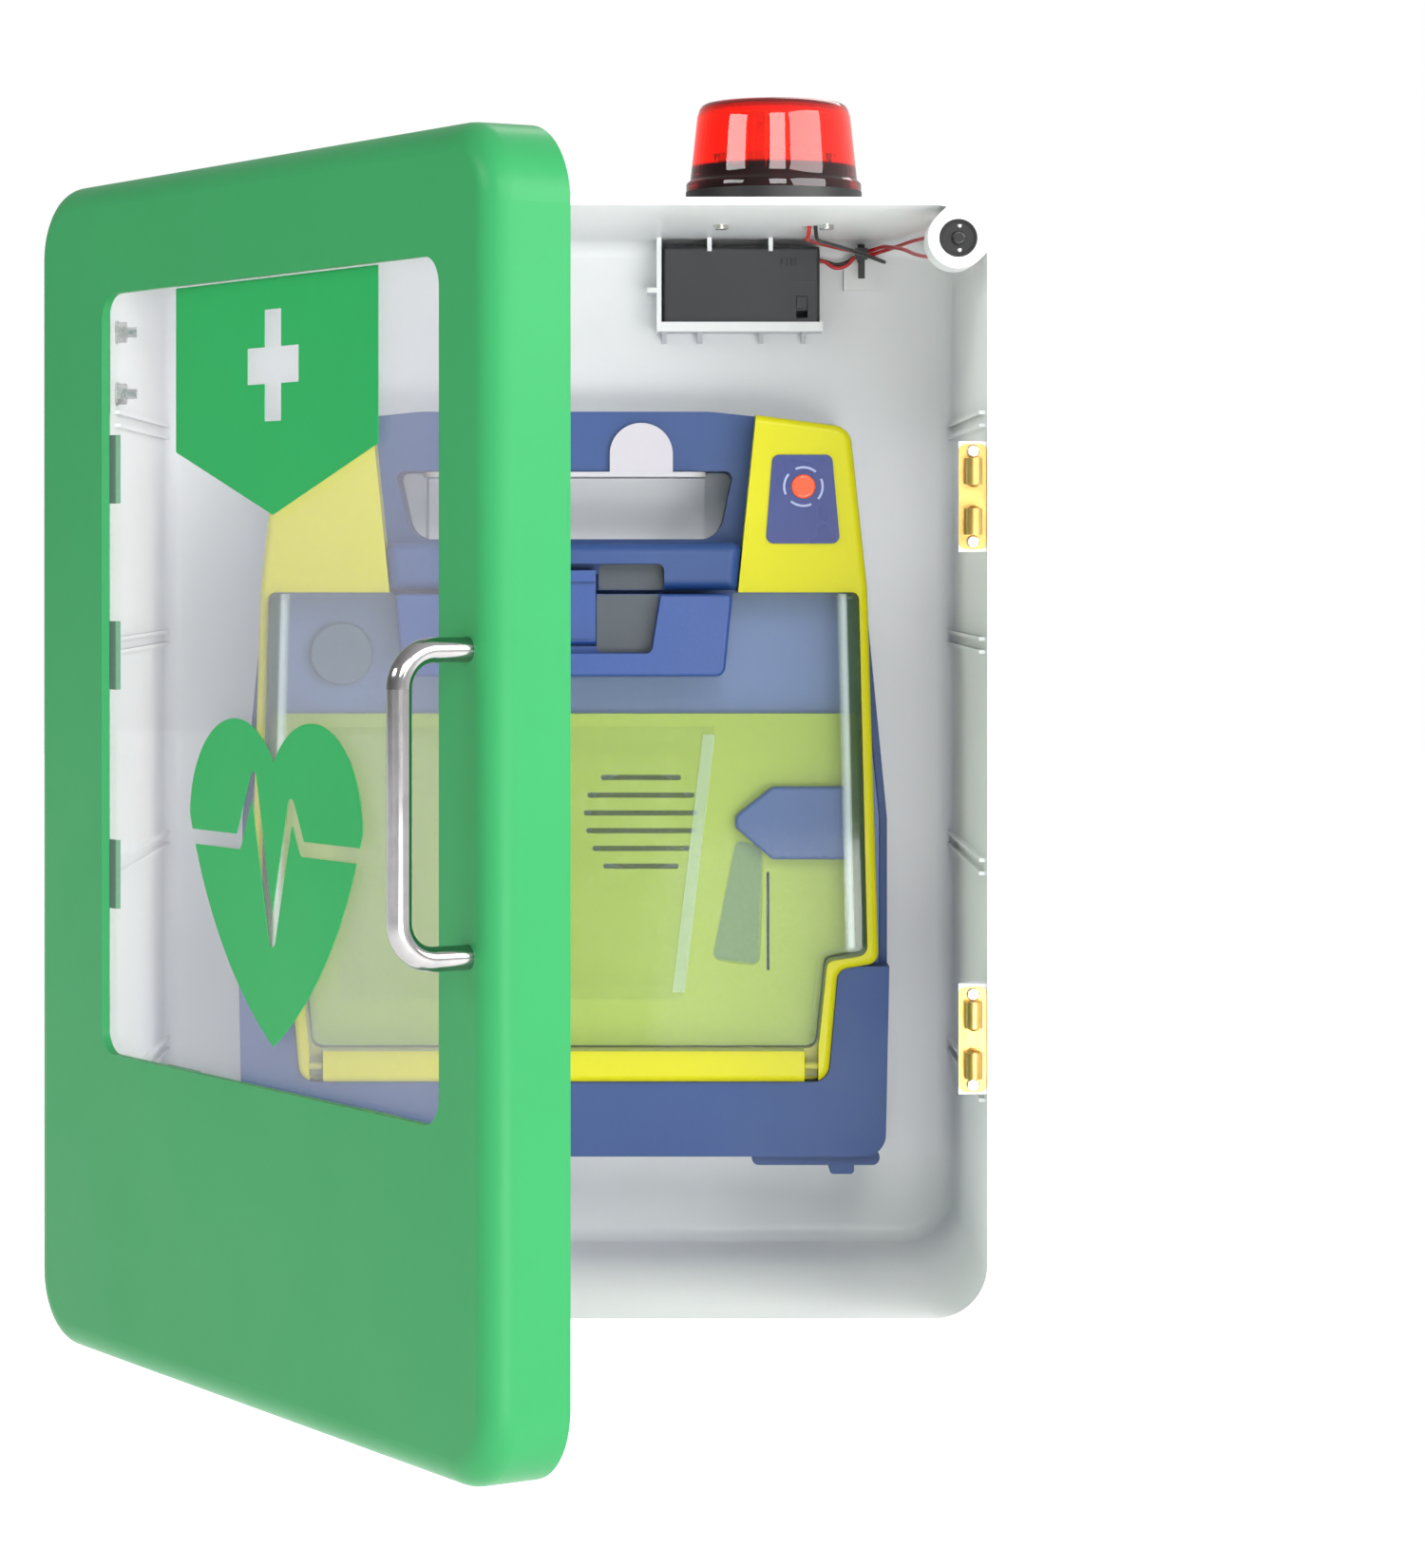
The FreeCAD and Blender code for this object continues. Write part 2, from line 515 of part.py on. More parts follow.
# ---- catches and door switch -----------------------------------------------------------
def catches():
    bodies, springs = [], []
    y1 = depth(catch_depth)
    for name, z in zip(("upper", "lower"), catch_zs):
        plate = box(catch_x - catch_w / 2, catch_x + catch_w / 2 - 0.1, y1 - catch_plate_t, y1,
                    z - catch_len / 2, z + catch_len / 2)
        plate = soften(plate, catch_corner, along(AY))
        pieces, bores = [plate], []
        for side in (1, -1):
            axis = AZ * side
            centre = Vector(catch_x, catch_y, z)
            tube_len = tube_end_z - tube_mouth_z
            pieces.append(rod(tube_r, centre + axis * tube_mouth_z, axis, tube_len))
            bores.append(rod(tube_lip_r, centre + axis * (tube_mouth_z - 1), axis, 2))
            bores.append(rod(ball_r + touch, centre + axis * (tube_mouth_z + tube_lip), axis,
                             tube_len - tube_lip - 1))
            screw_start = Vector(catch_x, y1 - 5, z + side * (catch_len / 2 - catch_screw_end))
            bores.append(rod(small_screw_r + touch, screw_start, AY, 9))
            ball = Part.makeSphere(ball_r, centre + axis * ball_z)
            save("catch_ball_%s_%s" % (name, "top" if side > 0 else "bottom"), ball)
            back = ball_z + ball_r
            springs.append(coil(catch_spring_r, catch_spring_wire, centre + axis * (back + touch - 0.6),
                                axis, tube_end_z - 1 - back + 0.5, catch_spring_turns))
        bodies.append(cut(fuse(pieces), bores))
    save("catch_bodies", *bodies)
    save("catch_springs", *springs)


def door_switch():
    face = Vector(switch_x, rim_y, switch_z)
    cap = rod(switch_r, face, AY, switch_boss_d + 2)
    tail = rod(switch_r - 1.5, face + AY * (switch_boss_d + 2), AY, switch_tail)
    body = fuse([cap, tail])
    bore = rod(plunger_r + touch, face - AY, AY, 9)
    flange_bore = rod(plunger_r + plunger_collar, face + AY * 2.5, AY, 12)
    save("switch_body", cut(body, [bore, flange_bore]))
    stem = rod(plunger_r, face - AY * plunger_out, AY, plunger_out + 2.5 + 2)
    stem = soften(stem, 0.8, in_plane(AY, face.y - plunger_out))
    collar = rod(plunger_r + plunger_collar - 2 * touch, face + AY * (2.5 + touch), AY, 1.5)
    save("switch_plunger", fuse([stem, collar]))
    start = face + AY * (4.5 + touch)
    save("switch_spring", coil(2.0, 0.3, start, AY, 14.5 - 4.5 - 2 * touch, 6))


# ---- door ------------------------------------------------------------------------------
def at_rest(shape):
    """Turn a piece of the closed door to the door's rest angle."""
    turned = shape.copy()
    turned.rotate(Vector(hinge_x, hinge_y, 0), AZ, -door_rest_deg)
    return turned


def door_box(u0, u1, v0, v1, z0, z1):
    return box(left + u0, left + u1, rim_y - v0, rim_y - v1, z0, z1)


def door_prism(points, v0, v1):
    return prism(outline([(left + p[0],) + tuple(p[1:]) for p in points]), rim_y - v0, rim_y - v1)


def window_hole(grow, v0, v1, r):
    u0, u1, z0, z1 = window_u0 - grow, window_u1 + grow, window_z0 - grow, window_z1 + grow
    return door_prism([(u0, z0, r), (u1, z0, r), (u1, z1, r), (u0, z1, r)], v0, v1)


def clip_places():
    """(u, z, outward u, outward z) at the window's edge, for each pane clip."""
    places = [(window_u0, z, -1, 0) for z in clips_hinge_side]
    places += [(window_u1, z, 1, 0) for z in clips_free_side]
    places += [(window_u0 + du, window_z1, 0, 1) for du in clips_top_bottom]
    places += [(window_u0 + du, window_z0, 0, -1) for du in clips_top_bottom]
    return places


def clip_box(place, out0, out1, side0, side1, v0, v1):
    u, z, du, dz = place
    a = (u + du * out0 + dz * side0, z + dz * out0 + du * side0)
    b = (u + du * out1 + dz * side1, z + dz * out1 + du * side1)
    return door_box(a[0], b[0], v0, v1, a[1], b[1])


def clip_screw_points(place):
    u, z, du, dz = place
    out = pane_margin + clip_tail / 2 + 0.2
    return [(u + du * out + dz * s, z + dz * out + du * s) for s in (-clip_screw_dz, clip_screw_dz)]


def striker_u():
    return catch_x - left


def door():
    outer = tray_block(left, right, rim_y - door_t, rim_y - door_gap, bottom, top,
                       door_corner_r, door_edge_r, rim_y - door_t)
    hollow = tray_block(left + wall, right - wall, rim_y - skin_v, rim_y + 20, bottom + wall,
                        top - wall, door_corner_r - wall, door_edge_r - wall, rim_y - skin_v)
    tray = outer.cut(hollow)
    bosses = []
    for place in clip_places():
        bosses.append(clip_box(place, pane_margin + free, pane_margin + clip_tail,
                               -clip_len / 2, clip_len / 2, skin_v + 0.5, skin_v - pane_t))
    post_v = catch_post_v
    for z in catch_zs:
        bosses.append(door_box(striker_u() - 6, cabinet_w - 1, skin_v + 0.5, post_v,
                               z - catch_len / 2 - 1, z + catch_len / 2 + 1))
    pad_v = plunger_out + free
    pad_start = Vector(switch_x, rim_y - pad_v, switch_z)
    bosses.append(rod(switch_pad_r, pad_start, -AY, skin_v - pad_v + 0.5))
    bosses.append(box(switch_x, inner_right + 1, rim_y - pad_v - 4, rim_y - skin_v - 0.5,
                      switch_z - 1.5, switch_z + 1.5))
    tray = fuse([tray] + [boss.common(outer) for boss in bosses])
    tools = [window_hole(0, skin_v - 1, door_t + 1, window_r)]
    clip_screws, clips = [], []
    for place in clip_places():
        clip = clip_box(place, pane_margin - clip_reach, pane_margin + clip_tail, -clip_len / 2,
                        clip_len / 2, skin_v - pane_t, skin_v - pane_t - clip_t)
        for u, z in clip_screw_points(place):
            start = Vector(left + u, rim_y - skin_v + pane_t + clip_t, z)
            tools.append(rod(small_screw_r + touch, start, -AY, clip_t + pane_t + 2))
            clip = clip.cut(rod(small_screw_r + touch, start + AY, -AY, clip_t + 2))
            clip_screws.append(screw(start, -AY, small_screw_r, clip_t + pane_t + 1.5, 2.5, 1.4))
        clips.append(clip)
    for dz in (-handle_span / 2, handle_span / 2):
        start = Vector(left + handle_u, rim_y - skin_v + 1, handle_z + dz)
        tools.append(rod(handle_screw_r + touch, start, -AY, wall + 2))
    for z in hinge_bolt_heights():
        tools.append(rod(door_bolt_r + touch, Vector(left - 1, rim_y - door_bolt_v, z), AX, wall + 2))
    for z in catch_screw_heights():
        tools.append(rod(small_screw_r + touch, Vector(catch_x, rim_y - post_v + 1, z), -AY, 12))
    save("door_tray", at_rest(cut(tray, tools)))
    pane = window_hole(pane_margin, skin_v - pane_t, skin_v, window_r)
    save("door_pane", at_rest(pane))
    save("pane_clips", *[at_rest(c) for c in clips])
    strikers, striker_screws = door_strikers(post_v)
    save("catch_strikers", *[at_rest(s) for s in strikers])
    save("door_screws", *[at_rest(s) for s in clip_screws + striker_screws])


def door_strikers(post_v):
    """Plates on the door's posts, each with a waisted tongue that the balls close on."""
    strikers, screws = [], []
    y0 = rim_y - post_v
    for z in catch_zs:
        plate = box(catch_x - catch_w / 2, catch_x + catch_w / 2 - 0.1, y0, y0 + catch_plate_t,
                    z - catch_len / 2, z + catch_len / 2)
        plate = soften(plate, catch_corner, along(AY))
        waist_y, head_y = catch_y, catch_y + 2.3
        half = ball_z - ball_r - tongue_bite
        head = ball_z - ball_r + 0.5
        profile = Part.makePolygon([
            Vector(0, y0 + 0.5, z - head), Vector(0, waist_y - 2.2, z - head),
            Vector(0, waist_y - 0.6, z - half), Vector(0, waist_y + 0.6, z - half),
            Vector(0, head_y, z - head), Vector(0, head_y + 0.4, z - head),
            Vector(0, head_y + 0.4, z + head), Vector(0, head_y, z + head),
            Vector(0, waist_y + 0.6, z + half), Vector(0, waist_y - 0.6, z + half),
            Vector(0, waist_y - 2.2, z + head), Vector(0, y0 + 0.5, z + head),
            Vector(0, y0 + 0.5, z - head)])
        tongue = Part.Face(profile).extrude(Vector(tongue_w, 0, 0))
        tongue.translate(Vector(catch_x - tongue_w / 2, 0, 0))
        striker = fuse([plate, tongue])
        for dz in (-1, 1):
            point = Vector(catch_x, y0 + catch_plate_t, z + dz * (catch_len / 2 - catch_screw_end))
            striker = striker.cut(rod(small_screw_r + touch, point + AY, -AY, catch_plate_t + 2))
            screws.append(screw(point, -AY, small_screw_r, 10, catch_screw_head, 1.4))
        strikers.append(striker)
    return strikers, screws


def heart_wire():
    c = left + heart_u
    def p(du, z):
        return Vector(c + du, 0, z)
    edges = []
    for side in (-1, 1):
        lobe = Part.Arc(p(0, heart_notch_z), p(side * heart_lobe_u, heart_top_z),
                        p(side * heart_half_w, heart_wide_z))
        flank = Part.Arc(p(side * heart_half_w, heart_wide_z),
                         p(side * heart_half_w * heart_flank_share, heart_flank_z), p(0, heart_tip_z))
        edges += [lobe.toShape(), flank.toShape()]
    return Part.Wire(Part.__sortEdges__(edges))


def pulse_cut():
    """A generic pulse line across the heart: even strokes with round joints."""
    points = [Vector(left + heart_u + u, rim_y - skin_v + 1, z) for u, z in pulse_line]
    strokes = [rod(pulse_half_w, point, -AY, 3) for point in points]
    for start, stop in zip(points, points[1:]):
        run = stop - start
        stroke = Part.makeBox(run.Length, 3, 2 * pulse_half_w, Vector(0, -3, -pulse_half_w))
        stroke.rotate(Vector(0, 0, 0), AY, -math.degrees(math.atan2(run.z, run.x)))
        stroke.translate(start)
        strokes.append(stroke)
    return strokes


def decals():
    v0, v1, banner_top = skin_v, skin_v + decal_t, window_z1 - decal_edge
    mid = (banner_u0 + banner_u1) / 2
    banner = door_prism([(banner_u0, banner_top), (banner_u0, banner_side_z), (mid, banner_tip_z),
                         (banner_u1, banner_side_z), (banner_u1, banner_top)], v0, v1)
    a, w = cross_arm, cross_w / 2
    cross = door_box(mid - a, mid + a, v0 - 1, v1 + 1, cross_z - w, cross_z + w).fuse(
        door_box(mid - w, mid + w, v0 - 1, v1 + 1, cross_z - a, cross_z + a))
    heart = prism(heart_wire(), rim_y - v0, rim_y - v1)
    save("door_decals", at_rest(banner.cut(cross)), at_rest(cut(heart, pulse_cut())))


def door_handle():
    x = left + handle_u
    y0, y1 = rim_y - door_t, rim_y - door_t - handle_reach
    z0, z1 = handle_z - handle_span / 2, handle_z + handle_span / 2
    r = handle_bend_r
    s = r * (1 - math.sqrt(0.5))
    edges = [
        Part.LineSegment(Vector(x, y0, z0), Vector(x, y1 + r, z0)).toShape(),
        Part.Arc(Vector(x, y1 + r, z0), Vector(x, y1 + s, z0 + s), Vector(x, y1, z0 + r)).toShape(),
        Part.LineSegment(Vector(x, y1, z0 + r), Vector(x, y1, z1 - r)).toShape(),
        Part.Arc(Vector(x, y1, z1 - r), Vector(x, y1 + s, z1 - s), Vector(x, y1 + r, z1)).toShape(),
        Part.LineSegment(Vector(x, y1 + r, z1), Vector(x, y0, z1)).toShape()]
    section = Part.Wire(Part.makeCircle(handle_rod_r, Vector(x, y0, z0), AY))
    bar = Part.Wire(edges).makePipeShell([section], True, False)
    screws = []
    for z in (z0, z1):
        bar = bar.cut(rod(handle_screw_r + touch, Vector(x, y0 + 1, z), -AY, 11))
        screws.append(screw(Vector(x, rim_y - skin_v, z), -AY, handle_screw_r, wall + 9, 3.6, 2.4))
    save("door_handle", at_rest(bar))
    save("door_handle_screws", *[at_rest(s) for s in screws])


# ---- strobe ----------------------------------------------------------------------------
def ring_profile(points):
    """Solid of revolution about the strobe's axis from (radius, z) points."""
    wire = Part.makePolygon([Vector(r, 0, z) for r, z in points + points[:1]])
    solid = Part.Face(wire).revolve(Vector(0, 0, 0), AZ, 360)
    solid.translate(Vector(strobe_x, depth(strobe_depth), 0))
    return solid


def strobe():
    y = depth(strobe_depth)
    centre = Vector(strobe_x, y, 0)
    g0, g1 = top, top + strobe_gasket_t
    lead_hole = rod(strobe_hole_r, Vector(strobe_x + strobe_hole_dx, y + strobe_hole_dy, g0 - 1),
                    AZ, strobe_flange_t + 8)
    screw_holes = [rod(strobe_screw_r + touch, Vector(x, y, g0 - 1), AZ, strobe_flange_t + 6)
                   for x in strobe_screws_x()]
    gasket = rod(strobe_r - 1.0, centre + AZ * g0, AZ, strobe_gasket_t)
    save("strobe_gasket", cut(gasket, [lead_hole] + screw_holes))
    f1 = g1 + strobe_flange_t
    flange = rod(strobe_r, centre + AZ * g1, AZ, strobe_flange_t)
    cup_h = 10.0
    cup = tube(strobe_r - 5, strobe_r - 7.5, centre + AZ * (f1 - 0.5), AZ, cup_h + 0.5)
    posts = [rod(strobe_post_r, Vector(x, y, f1 - 0.5), AZ, strobe_board_lift + 0.5)
             for x in strobe_screws_x()]
    base = fuse([flange, cup] + posts)
    recess = rod(strobe_r - 9, centre + AZ * (g1 + 2), AZ, strobe_flange_t)
    recess = cut(recess, [rod(strobe_post_r, Vector(x, y, g1), AZ, strobe_flange_t + 10)
                          for x in strobe_screws_x()])
    save("strobe_base", cut(base, [recess, lead_hole] + screw_holes))
    z0, z1 = f1 + snug, top + strobe_h
    w = strobe_lens_wall
    lens = ring_profile([
        (strobe_r - 0.2, z0), (strobe_r - 0.2, z0 + 3.5), (strobe_r - 1.6, z0 + 4.5),
        (strobe_lens_top_r + 0.5, z1 - 5), (strobe_lens_top_r - 1.2, z1 - 1.6),
        (strobe_lens_top_r - 5, z1), (0, z1), (0, z1 - w),
        (strobe_lens_top_r - 5.5, z1 - w), (strobe_lens_top_r - w, z1 - 4.5),
        (strobe_r - 1.6 - w, z0 + 5), (strobe_r - 1.6 - w, z0)])
    save("strobe_lens", lens)
    board_z = f1 + strobe_board_lift
    dish_z = board_z + strobe_board_t
    board = rod(strobe_r - 8.5, centre + AZ * board_z, AZ, strobe_board_t)
    post = rod(lamp_r, centre + AZ * (dish_z - 0.1), AZ, lamp_h)
    dome = Part.makeSphere(lamp_r, centre + AZ * (dish_z - 0.1 + lamp_h))
    lamp = fuse([board, post, dome])
    save("strobe_lamp", cut(lamp, [rod(strobe_screw_r + touch, Vector(x, y, board_z - 1), AZ, 4)
                                   for x in strobe_screws_x()]))
    dish = ring_profile([(9.5, dish_z), (17, dish_z), (25.5, dish_z + 7), (25.5, dish_z + 8),
                         (16.5, dish_z + 1.2), (9.5, dish_z + 1.2)])
    save("strobe_reflector", dish)
    screw_len = wall + strobe_gasket_t + strobe_flange_t
    save("strobe_screws", *[screw(Vector(x, y, inner_top), AZ, strobe_screw_r, screw_len, 3.0, 2.0)
                            for x in strobe_screws_x()])
    return board_z


# ---- battery box, leads and tie --------------------------------------------------------
def bbox_knob_x():
    return bbox_x1 - 7.5


def battery_box():
    y0, y1 = inner_back - bbox_t, inner_back - free
    split = y0 + bbox_cover_t
    w = bbox_wall
    case = soften(box(bbox_x0, bbox_x1, split, y1, bbox_z0, bbox_z1), 3,
                  lambda e: in_plane(AY, y1)(e) and in_plane(AZ, bbox_z1)(e))
    case = case.cut(box(bbox_x0 + w, bbox_x1 - w, split - 1, y1 - w, bbox_z0 + w, bbox_z1 - w))
    wire_holes = [rod(lead_r + touch, Vector(bbox_x1 - 3, lead_exit_y() + d, wire_hole_z), AX, 5)
                  for d in (-1.0, 1.0)]
    mid_z = (bbox_z0 + bbox_z1) / 2
    spine = box(bbox_x0 + w - 0.5, bbox_x0 + cell_len + 1.8, y1 - w + 0.5, split + 2,
                mid_z - spine_half, mid_z + spine_half)
    save("battery_box_case", cut(fuse([case, spine]), wire_holes))
    cover = soften(box(bbox_x0, bbox_x1, y0, split - snug, bbox_z0, bbox_z1), 1.5,
                   lambda e: along(AY)(e) or in_plane(AY, y0)(e))
    cover = cover.cut(box(bbox_x0 + w, bbox_x1 - w, y0 + w, split + 1, bbox_z0 + w, bbox_z1 - w))
    kx, kz = bbox_knob_x(), bbox_z0 + 10.0
    slot = box(kx - 2.4, kx + 2.4, y0 - 1, y0 + 3, kz - 2.6 - bbox_travel, kz + 2.6)
    save("battery_box_cover", cover.cut(slot))
    knob = box(kx - 2.1, kx + 2.1, y0 - 1.2, y0 + w + 0.5, kz - 2.3, kz + 2.3)
    guide = box(kx - 3.4, kx + 3.4, y0 + w + free, y0 + w + 1.8, kz - 3.4, kz + 2.9)
    save("battery_box_slider", knob.fuse(guide))
    cy = (y0 + y1) / 2
    cells, contacts = [], []
    x0 = bbox_x0 + w + contact_room
    for z in (mid_z - cell_dz, mid_z + cell_dz):
        start = Vector(x0, cy, z)
        can = rod(cell_r, start, AX, cell_len - 1.2)
        nub = rod(2.6, start + AX * (cell_len - 1.2), AX, 1.2)
        cells.append(can.fuse(nub))
        tab0 = box(bbox_x0 + w, bbox_x0 + w + 0.5, cy - 5, cy + 5, z - 5.5, z + 5.5)
        contacts.append(tab0.fuse(rod(2.5, Vector(bbox_x0 + w + 0.4, cy, z), AX, 0.9)))
        x_end = x0 + cell_len + touch
        contacts.append(box(x_end, x_end + 0.6, cy - 5, cy + 5, z - 5.5, z + 5.5))
    save("battery_cells", *cells)
    save("battery_contacts", *contacts)


def lead_exit_y():
    return inner_back - 9.0


def leads(board_z):
    step = 2 * lead_r + 0.3
    y_exit = lead_exit_y()
    hx, hy = strobe_x + strobe_hole_dx, depth(strobe_depth) + strobe_hole_dy
    low_z, high_z = tie_z - 1, tie_z + 0.75
    black_y, red_y, back_y = tie_y, tie_y - step, tie_y - step / 2
    tail = depth(switch_boss_d + 2 + switch_tail)
    black = [(bbox_x1 - bbox_wall, y_exit + 1, wire_hole_z), (113.0, y_exit + 1, wire_hole_z),
             (117.8, -10.8, 201.2), (122.4, -10.9, 202.6), (126.0, black_y, low_z),
             (131.5, black_y, low_z), (136.5, -13.0, 203.2), (138.0, -20.5, 201.8),
             (132.5, -30.0, 203.0), (119.0, -52.0, 205.8), (hx + 2.2, hy + 8, 207.0),
             (hx + 1.2, hy, 211.0), (hx + 1.2, hy, board_z)]
    red = [(bbox_x1 - bbox_wall, y_exit - 1, wire_hole_z), (112.6, y_exit - 1, wire_hole_z),
           (116.8, -13.4, 199.6), (121.8, -13.1, 200.6), (126.0, red_y, low_z),
           (131.5, red_y, low_z), (139.0, -22.0, 207.2), (147.0, -50.0, 208.6),
           (152.0, -90.0, 207.6), (155.5, -130.0, 203.8), (switch_x + 2.2, tail + 8, switch_z + 1.0),
           (switch_x + 2.2, tail, switch_z + 1.0)]
    back = [(switch_x - 2.2, tail, switch_z - 2.0), (switch_x - 2.2, tail + 9, switch_z - 2.0),
            (150.0, -128.0, 196.6), (146.5, -92.0, 200.0), (143.0, -54.0, 205.4),
            (137.0, -22.0, 208.6), (131.0, back_y, high_z), (125.0, back_y, high_z),
            (116.0, -14.5, 208.9), (108.5, -28.0, 209.6), (hx - 2.0, -56.0, 209.2),
            (hx - 1.6, hy + 7, 207.6), (hx - 1.2, hy, 211.0), (hx - 1.2, hy, board_z)]
    save("lead_battery_to_strobe", lead("battery to strobe", black))
    save("lead_battery_to_switch", lead("battery to switch", red))
    save("lead_switch_to_strobe", lead("switch to strobe", back))
    base = box(tie_x - tie_base_w / 2, tie_x + tie_base_w / 2, inner_back - tie_base_t, inner_back,
               tie_z - 15.5, tie_z - 1.5)
    bridge = box(tie_x - 3, tie_x + 3, inner_back - tie_base_t - 1.5, inner_back - 1,
                 tie_z - 4, tie_z + 0.5)
    band = tube(tie_r + 1.0, tie_r, Vector(tie_x - tie_band_w / 2, back_y, tie_z - 0.1), AX, tie_band_w)
    front = back_y - tie_r
    buckle = box(tie_x - 2.6, tie_x + 2.6, front - 3.2, front - 0.4, tie_z - 3.0, tie_z + 1.8)
    tongue = box(tie_x - 1.4, tie_x + 1.4, front - 2.2, front - 1.2, tie_z - 11, tie_z - 2)
    save("lead_tie", fuse([band, buckle, tongue]))
    bore = rod(tie_r + 1.0 + touch, Vector(tie_x - 20, back_y, tie_z - 0.1), AX, 40)
    save("lead_tie_base", fuse([base, bridge]).cut(bore))


# ---- defibrillator ---------------------------------------------------------------------
def slab(wire_points, t0, t1):
    """Prism from an outline in the unit's own x and z, between depths from its rear."""
    shifted = outline([(aed_x + p[0],) + tuple(p[1:]) for p in wire_points])
    return prism(shifted, aed_rear - t0, aed_rear - t1)


def ubox(x0, x1, t0, t1, z0, z1):
    return box(aed_x + x0, aed_x + x1, aed_rear - t0, aed_rear - t1, z0, z1)


def urod(r, x, t, z, axis, length):
    return rod(r, Vector(aed_x + x, aed_rear - t, z), axis, length)


def mirrored(right_side):
    """Close a left-right symmetric outline from its right-hand points, top to bottom."""
    left_side = [(-p[0],) + tuple(p[1:]) for p in reversed(right_side)]
    return right_side + left_side


def base_points(inset):
    i = inset
    return mirrored([(60.0, 138.0 - i, 60.0), (117.0 - i, 132.0 - i, 8.0 - i / 2), (124.0 - i, 65.0, 30.0),
                     (base_half_w - i, -30.0, 30.0), (base_half_w - i, -87.0, 60.0),
                     (base_low_half_w - i, base_low_z + i, 9.0 - i / 2)])


def lid_points(inset):
    i = inset
    return mirrored([(120.5 - i, 63.5 - i, 3.0), (124.0 - i, -84.5 + i, 4.0), (107.7 - i, -87.3 + i, 3.0),
                     (103.9 - i, lid_bottom_z + i, 5.0)])


def ring_points(grow):
    g = grow
    return mirrored([(79.0, 136.0), (117.0 + g, 131.0, 8.0), (124.0 + g, 65.0, 30.0),
                     (128.7 + g, -88.0, 5.0), (112.0 + g, -90.8, 5.0), (108.0 + g, -136.5 - g, 7.0)])


def grip_hole(t0, t1):
    return slab([(grip_half_top, grip_z1, 3.0), (grip_half_bottom, grip_z0, 10.0),
                 (-grip_half_bottom, grip_z0, 10.0), (-grip_half_top, grip_z1, 3.0)], t0, t1)


def upper_screws():
    return [(side * 110.0, 116.0) for side in (-1, 1)]


def lower_screws():
    return [(side * 85.0, lid_hinge_z) for side in (-1, 1)]


def case_screw_places():
    return upper_screws() + lower_screws()


def standoff_places():
    return [(x, z) for x in standoff_xs for z in standoff_zs]


def base_shell():
    body = slab(base_points(0), 0, base_t)
    body = soften(body, 5, in_plane(AY, aed_rear))
    inside = ubox(-200, 200, shell, base_t + 1, -200, 80)
    body = body.cut(slab(base_points(shell), shell, base_t + 1).common(inside))
    below = slab(base_points(0), base_t - 0.5, lid_hinge_t).common(ubox(-200, 200, 0, 100, -200, -89.5))
    below = below.cut(slab(ring_points(free), 0, 100)).cut(slab(base_points(shell), 0, base_t))
    feet = []
    for side in (-1, 1):
        foot = ubox(side * foot_x0, side * foot_x1, 6, 60, foot_z, base_low_z + shell - 1)
        nub = ubox(side * nub_x0, side * nub_x1, 6, 60, nub_z, foot_z + 2)
        feet += [soften(foot, 3, along(AY)), soften(nub, 1.5, along(AY))]
    rails = [ubox(pack_x0 + 1.0, pack_x1 + 4, shell - 1, base_t - 4, z, z + 2)
             for z in (pack_z0 - free - 2, pack_z1 + free)]
    standoffs = [urod(4, x, shell - 1, z, -AY, standoff_h) for x, z in standoff_places()]
    posts = [urod(5, x, shell - 1, z, -AY, base_t - shell + 1) for x, z in lower_screws()]
    body = fuse([body, below] + feet + rails + standoffs + posts)
    tools = [grip_hole(-1, 100),
             ubox(-200, pack_x1, pack_t0 - free, pack_t1 + free, pack_z0 - free, pack_z1 + free)]
    for x, z in case_screw_places():
        tools.append(urod(case_screw_r + touch, x, -1, z, -AY, base_t + 32))
        tools.append(urod(3.5, x, -1, z, -AY, 4.0))
    for x, z in standoff_places():
        tools.append(urod(1.0, x, shell + 5, z, -AY, 30))
    save("aed_base_shell", cut(body, tools))
    screws = [screw(Vector(aed_x + x, aed_rear - 3, z), -AY, case_screw_r, base_t + 8, 3.0, 2.0)
              for x, z in case_screw_places()]
    save("aed_case_screws", *screws)


def front_shell():
    """Yellow ring round the lid, with a block at each end of the grip."""
    ring = slab(ring_points(0), base_t + snug, ring_t)
    ring = ring.cut(slab([(70.8, 60.0), (79.0, 140.0), (-79.0, 140.0), (-70.8, 60.0)], 0, 100))
    ring = soften(ring, 3, lambda e: in_plane(AY, aed_rear - ring_t)(e) and not is_inner(e))
    tools = [slab(lid_points(0), 0, 100)]
    for side in (-1, 1):
        tools.append(slab([(side * 84, 73, 2), (side * 118, 73, 2), (side * 112.5, 124, 2),
                           (side * 89, 128, 2)], base_t - 1, ring_t - shell))
        tools.append(ubox(side * (lid_ear_x - 2 * free), side * (lid_ear_x + lid_ear_w + 2 * free),
                          lid_hinge_t - 7, 100, lid_hinge_z - 7, lid_bottom_z + 6))
        tools.append(urod(lid_pin_r + touch, side * (lid_pin_end - lid_pin_len - touch), lid_hinge_t,
                          lid_hinge_z, AX * side, lid_pin_len + 2 * touch))
    ring = cut(ring, tools)
    bosses = [urod(4, x, base_t + snug, z, -AY, ring_rise - 1) for x, z in upper_screws()]
    ring = fuse([ring] + bosses)
    holes = [urod(case_screw_r + touch, x, base_t - 1, z, -AY, 12.5) for x, z in case_screw_places()]
    holes.append(urod(2.6, status_x, ring_t - 8, status_z, -AY, 12))
    save("aed_front_shell", cut(ring, holes))


def is_inner(edge):
    mid = edge.valueAt((edge.FirstParameter + edge.LastParameter) / 2)
    return abs(mid.x - aed_x) < 80 and mid.z > 60


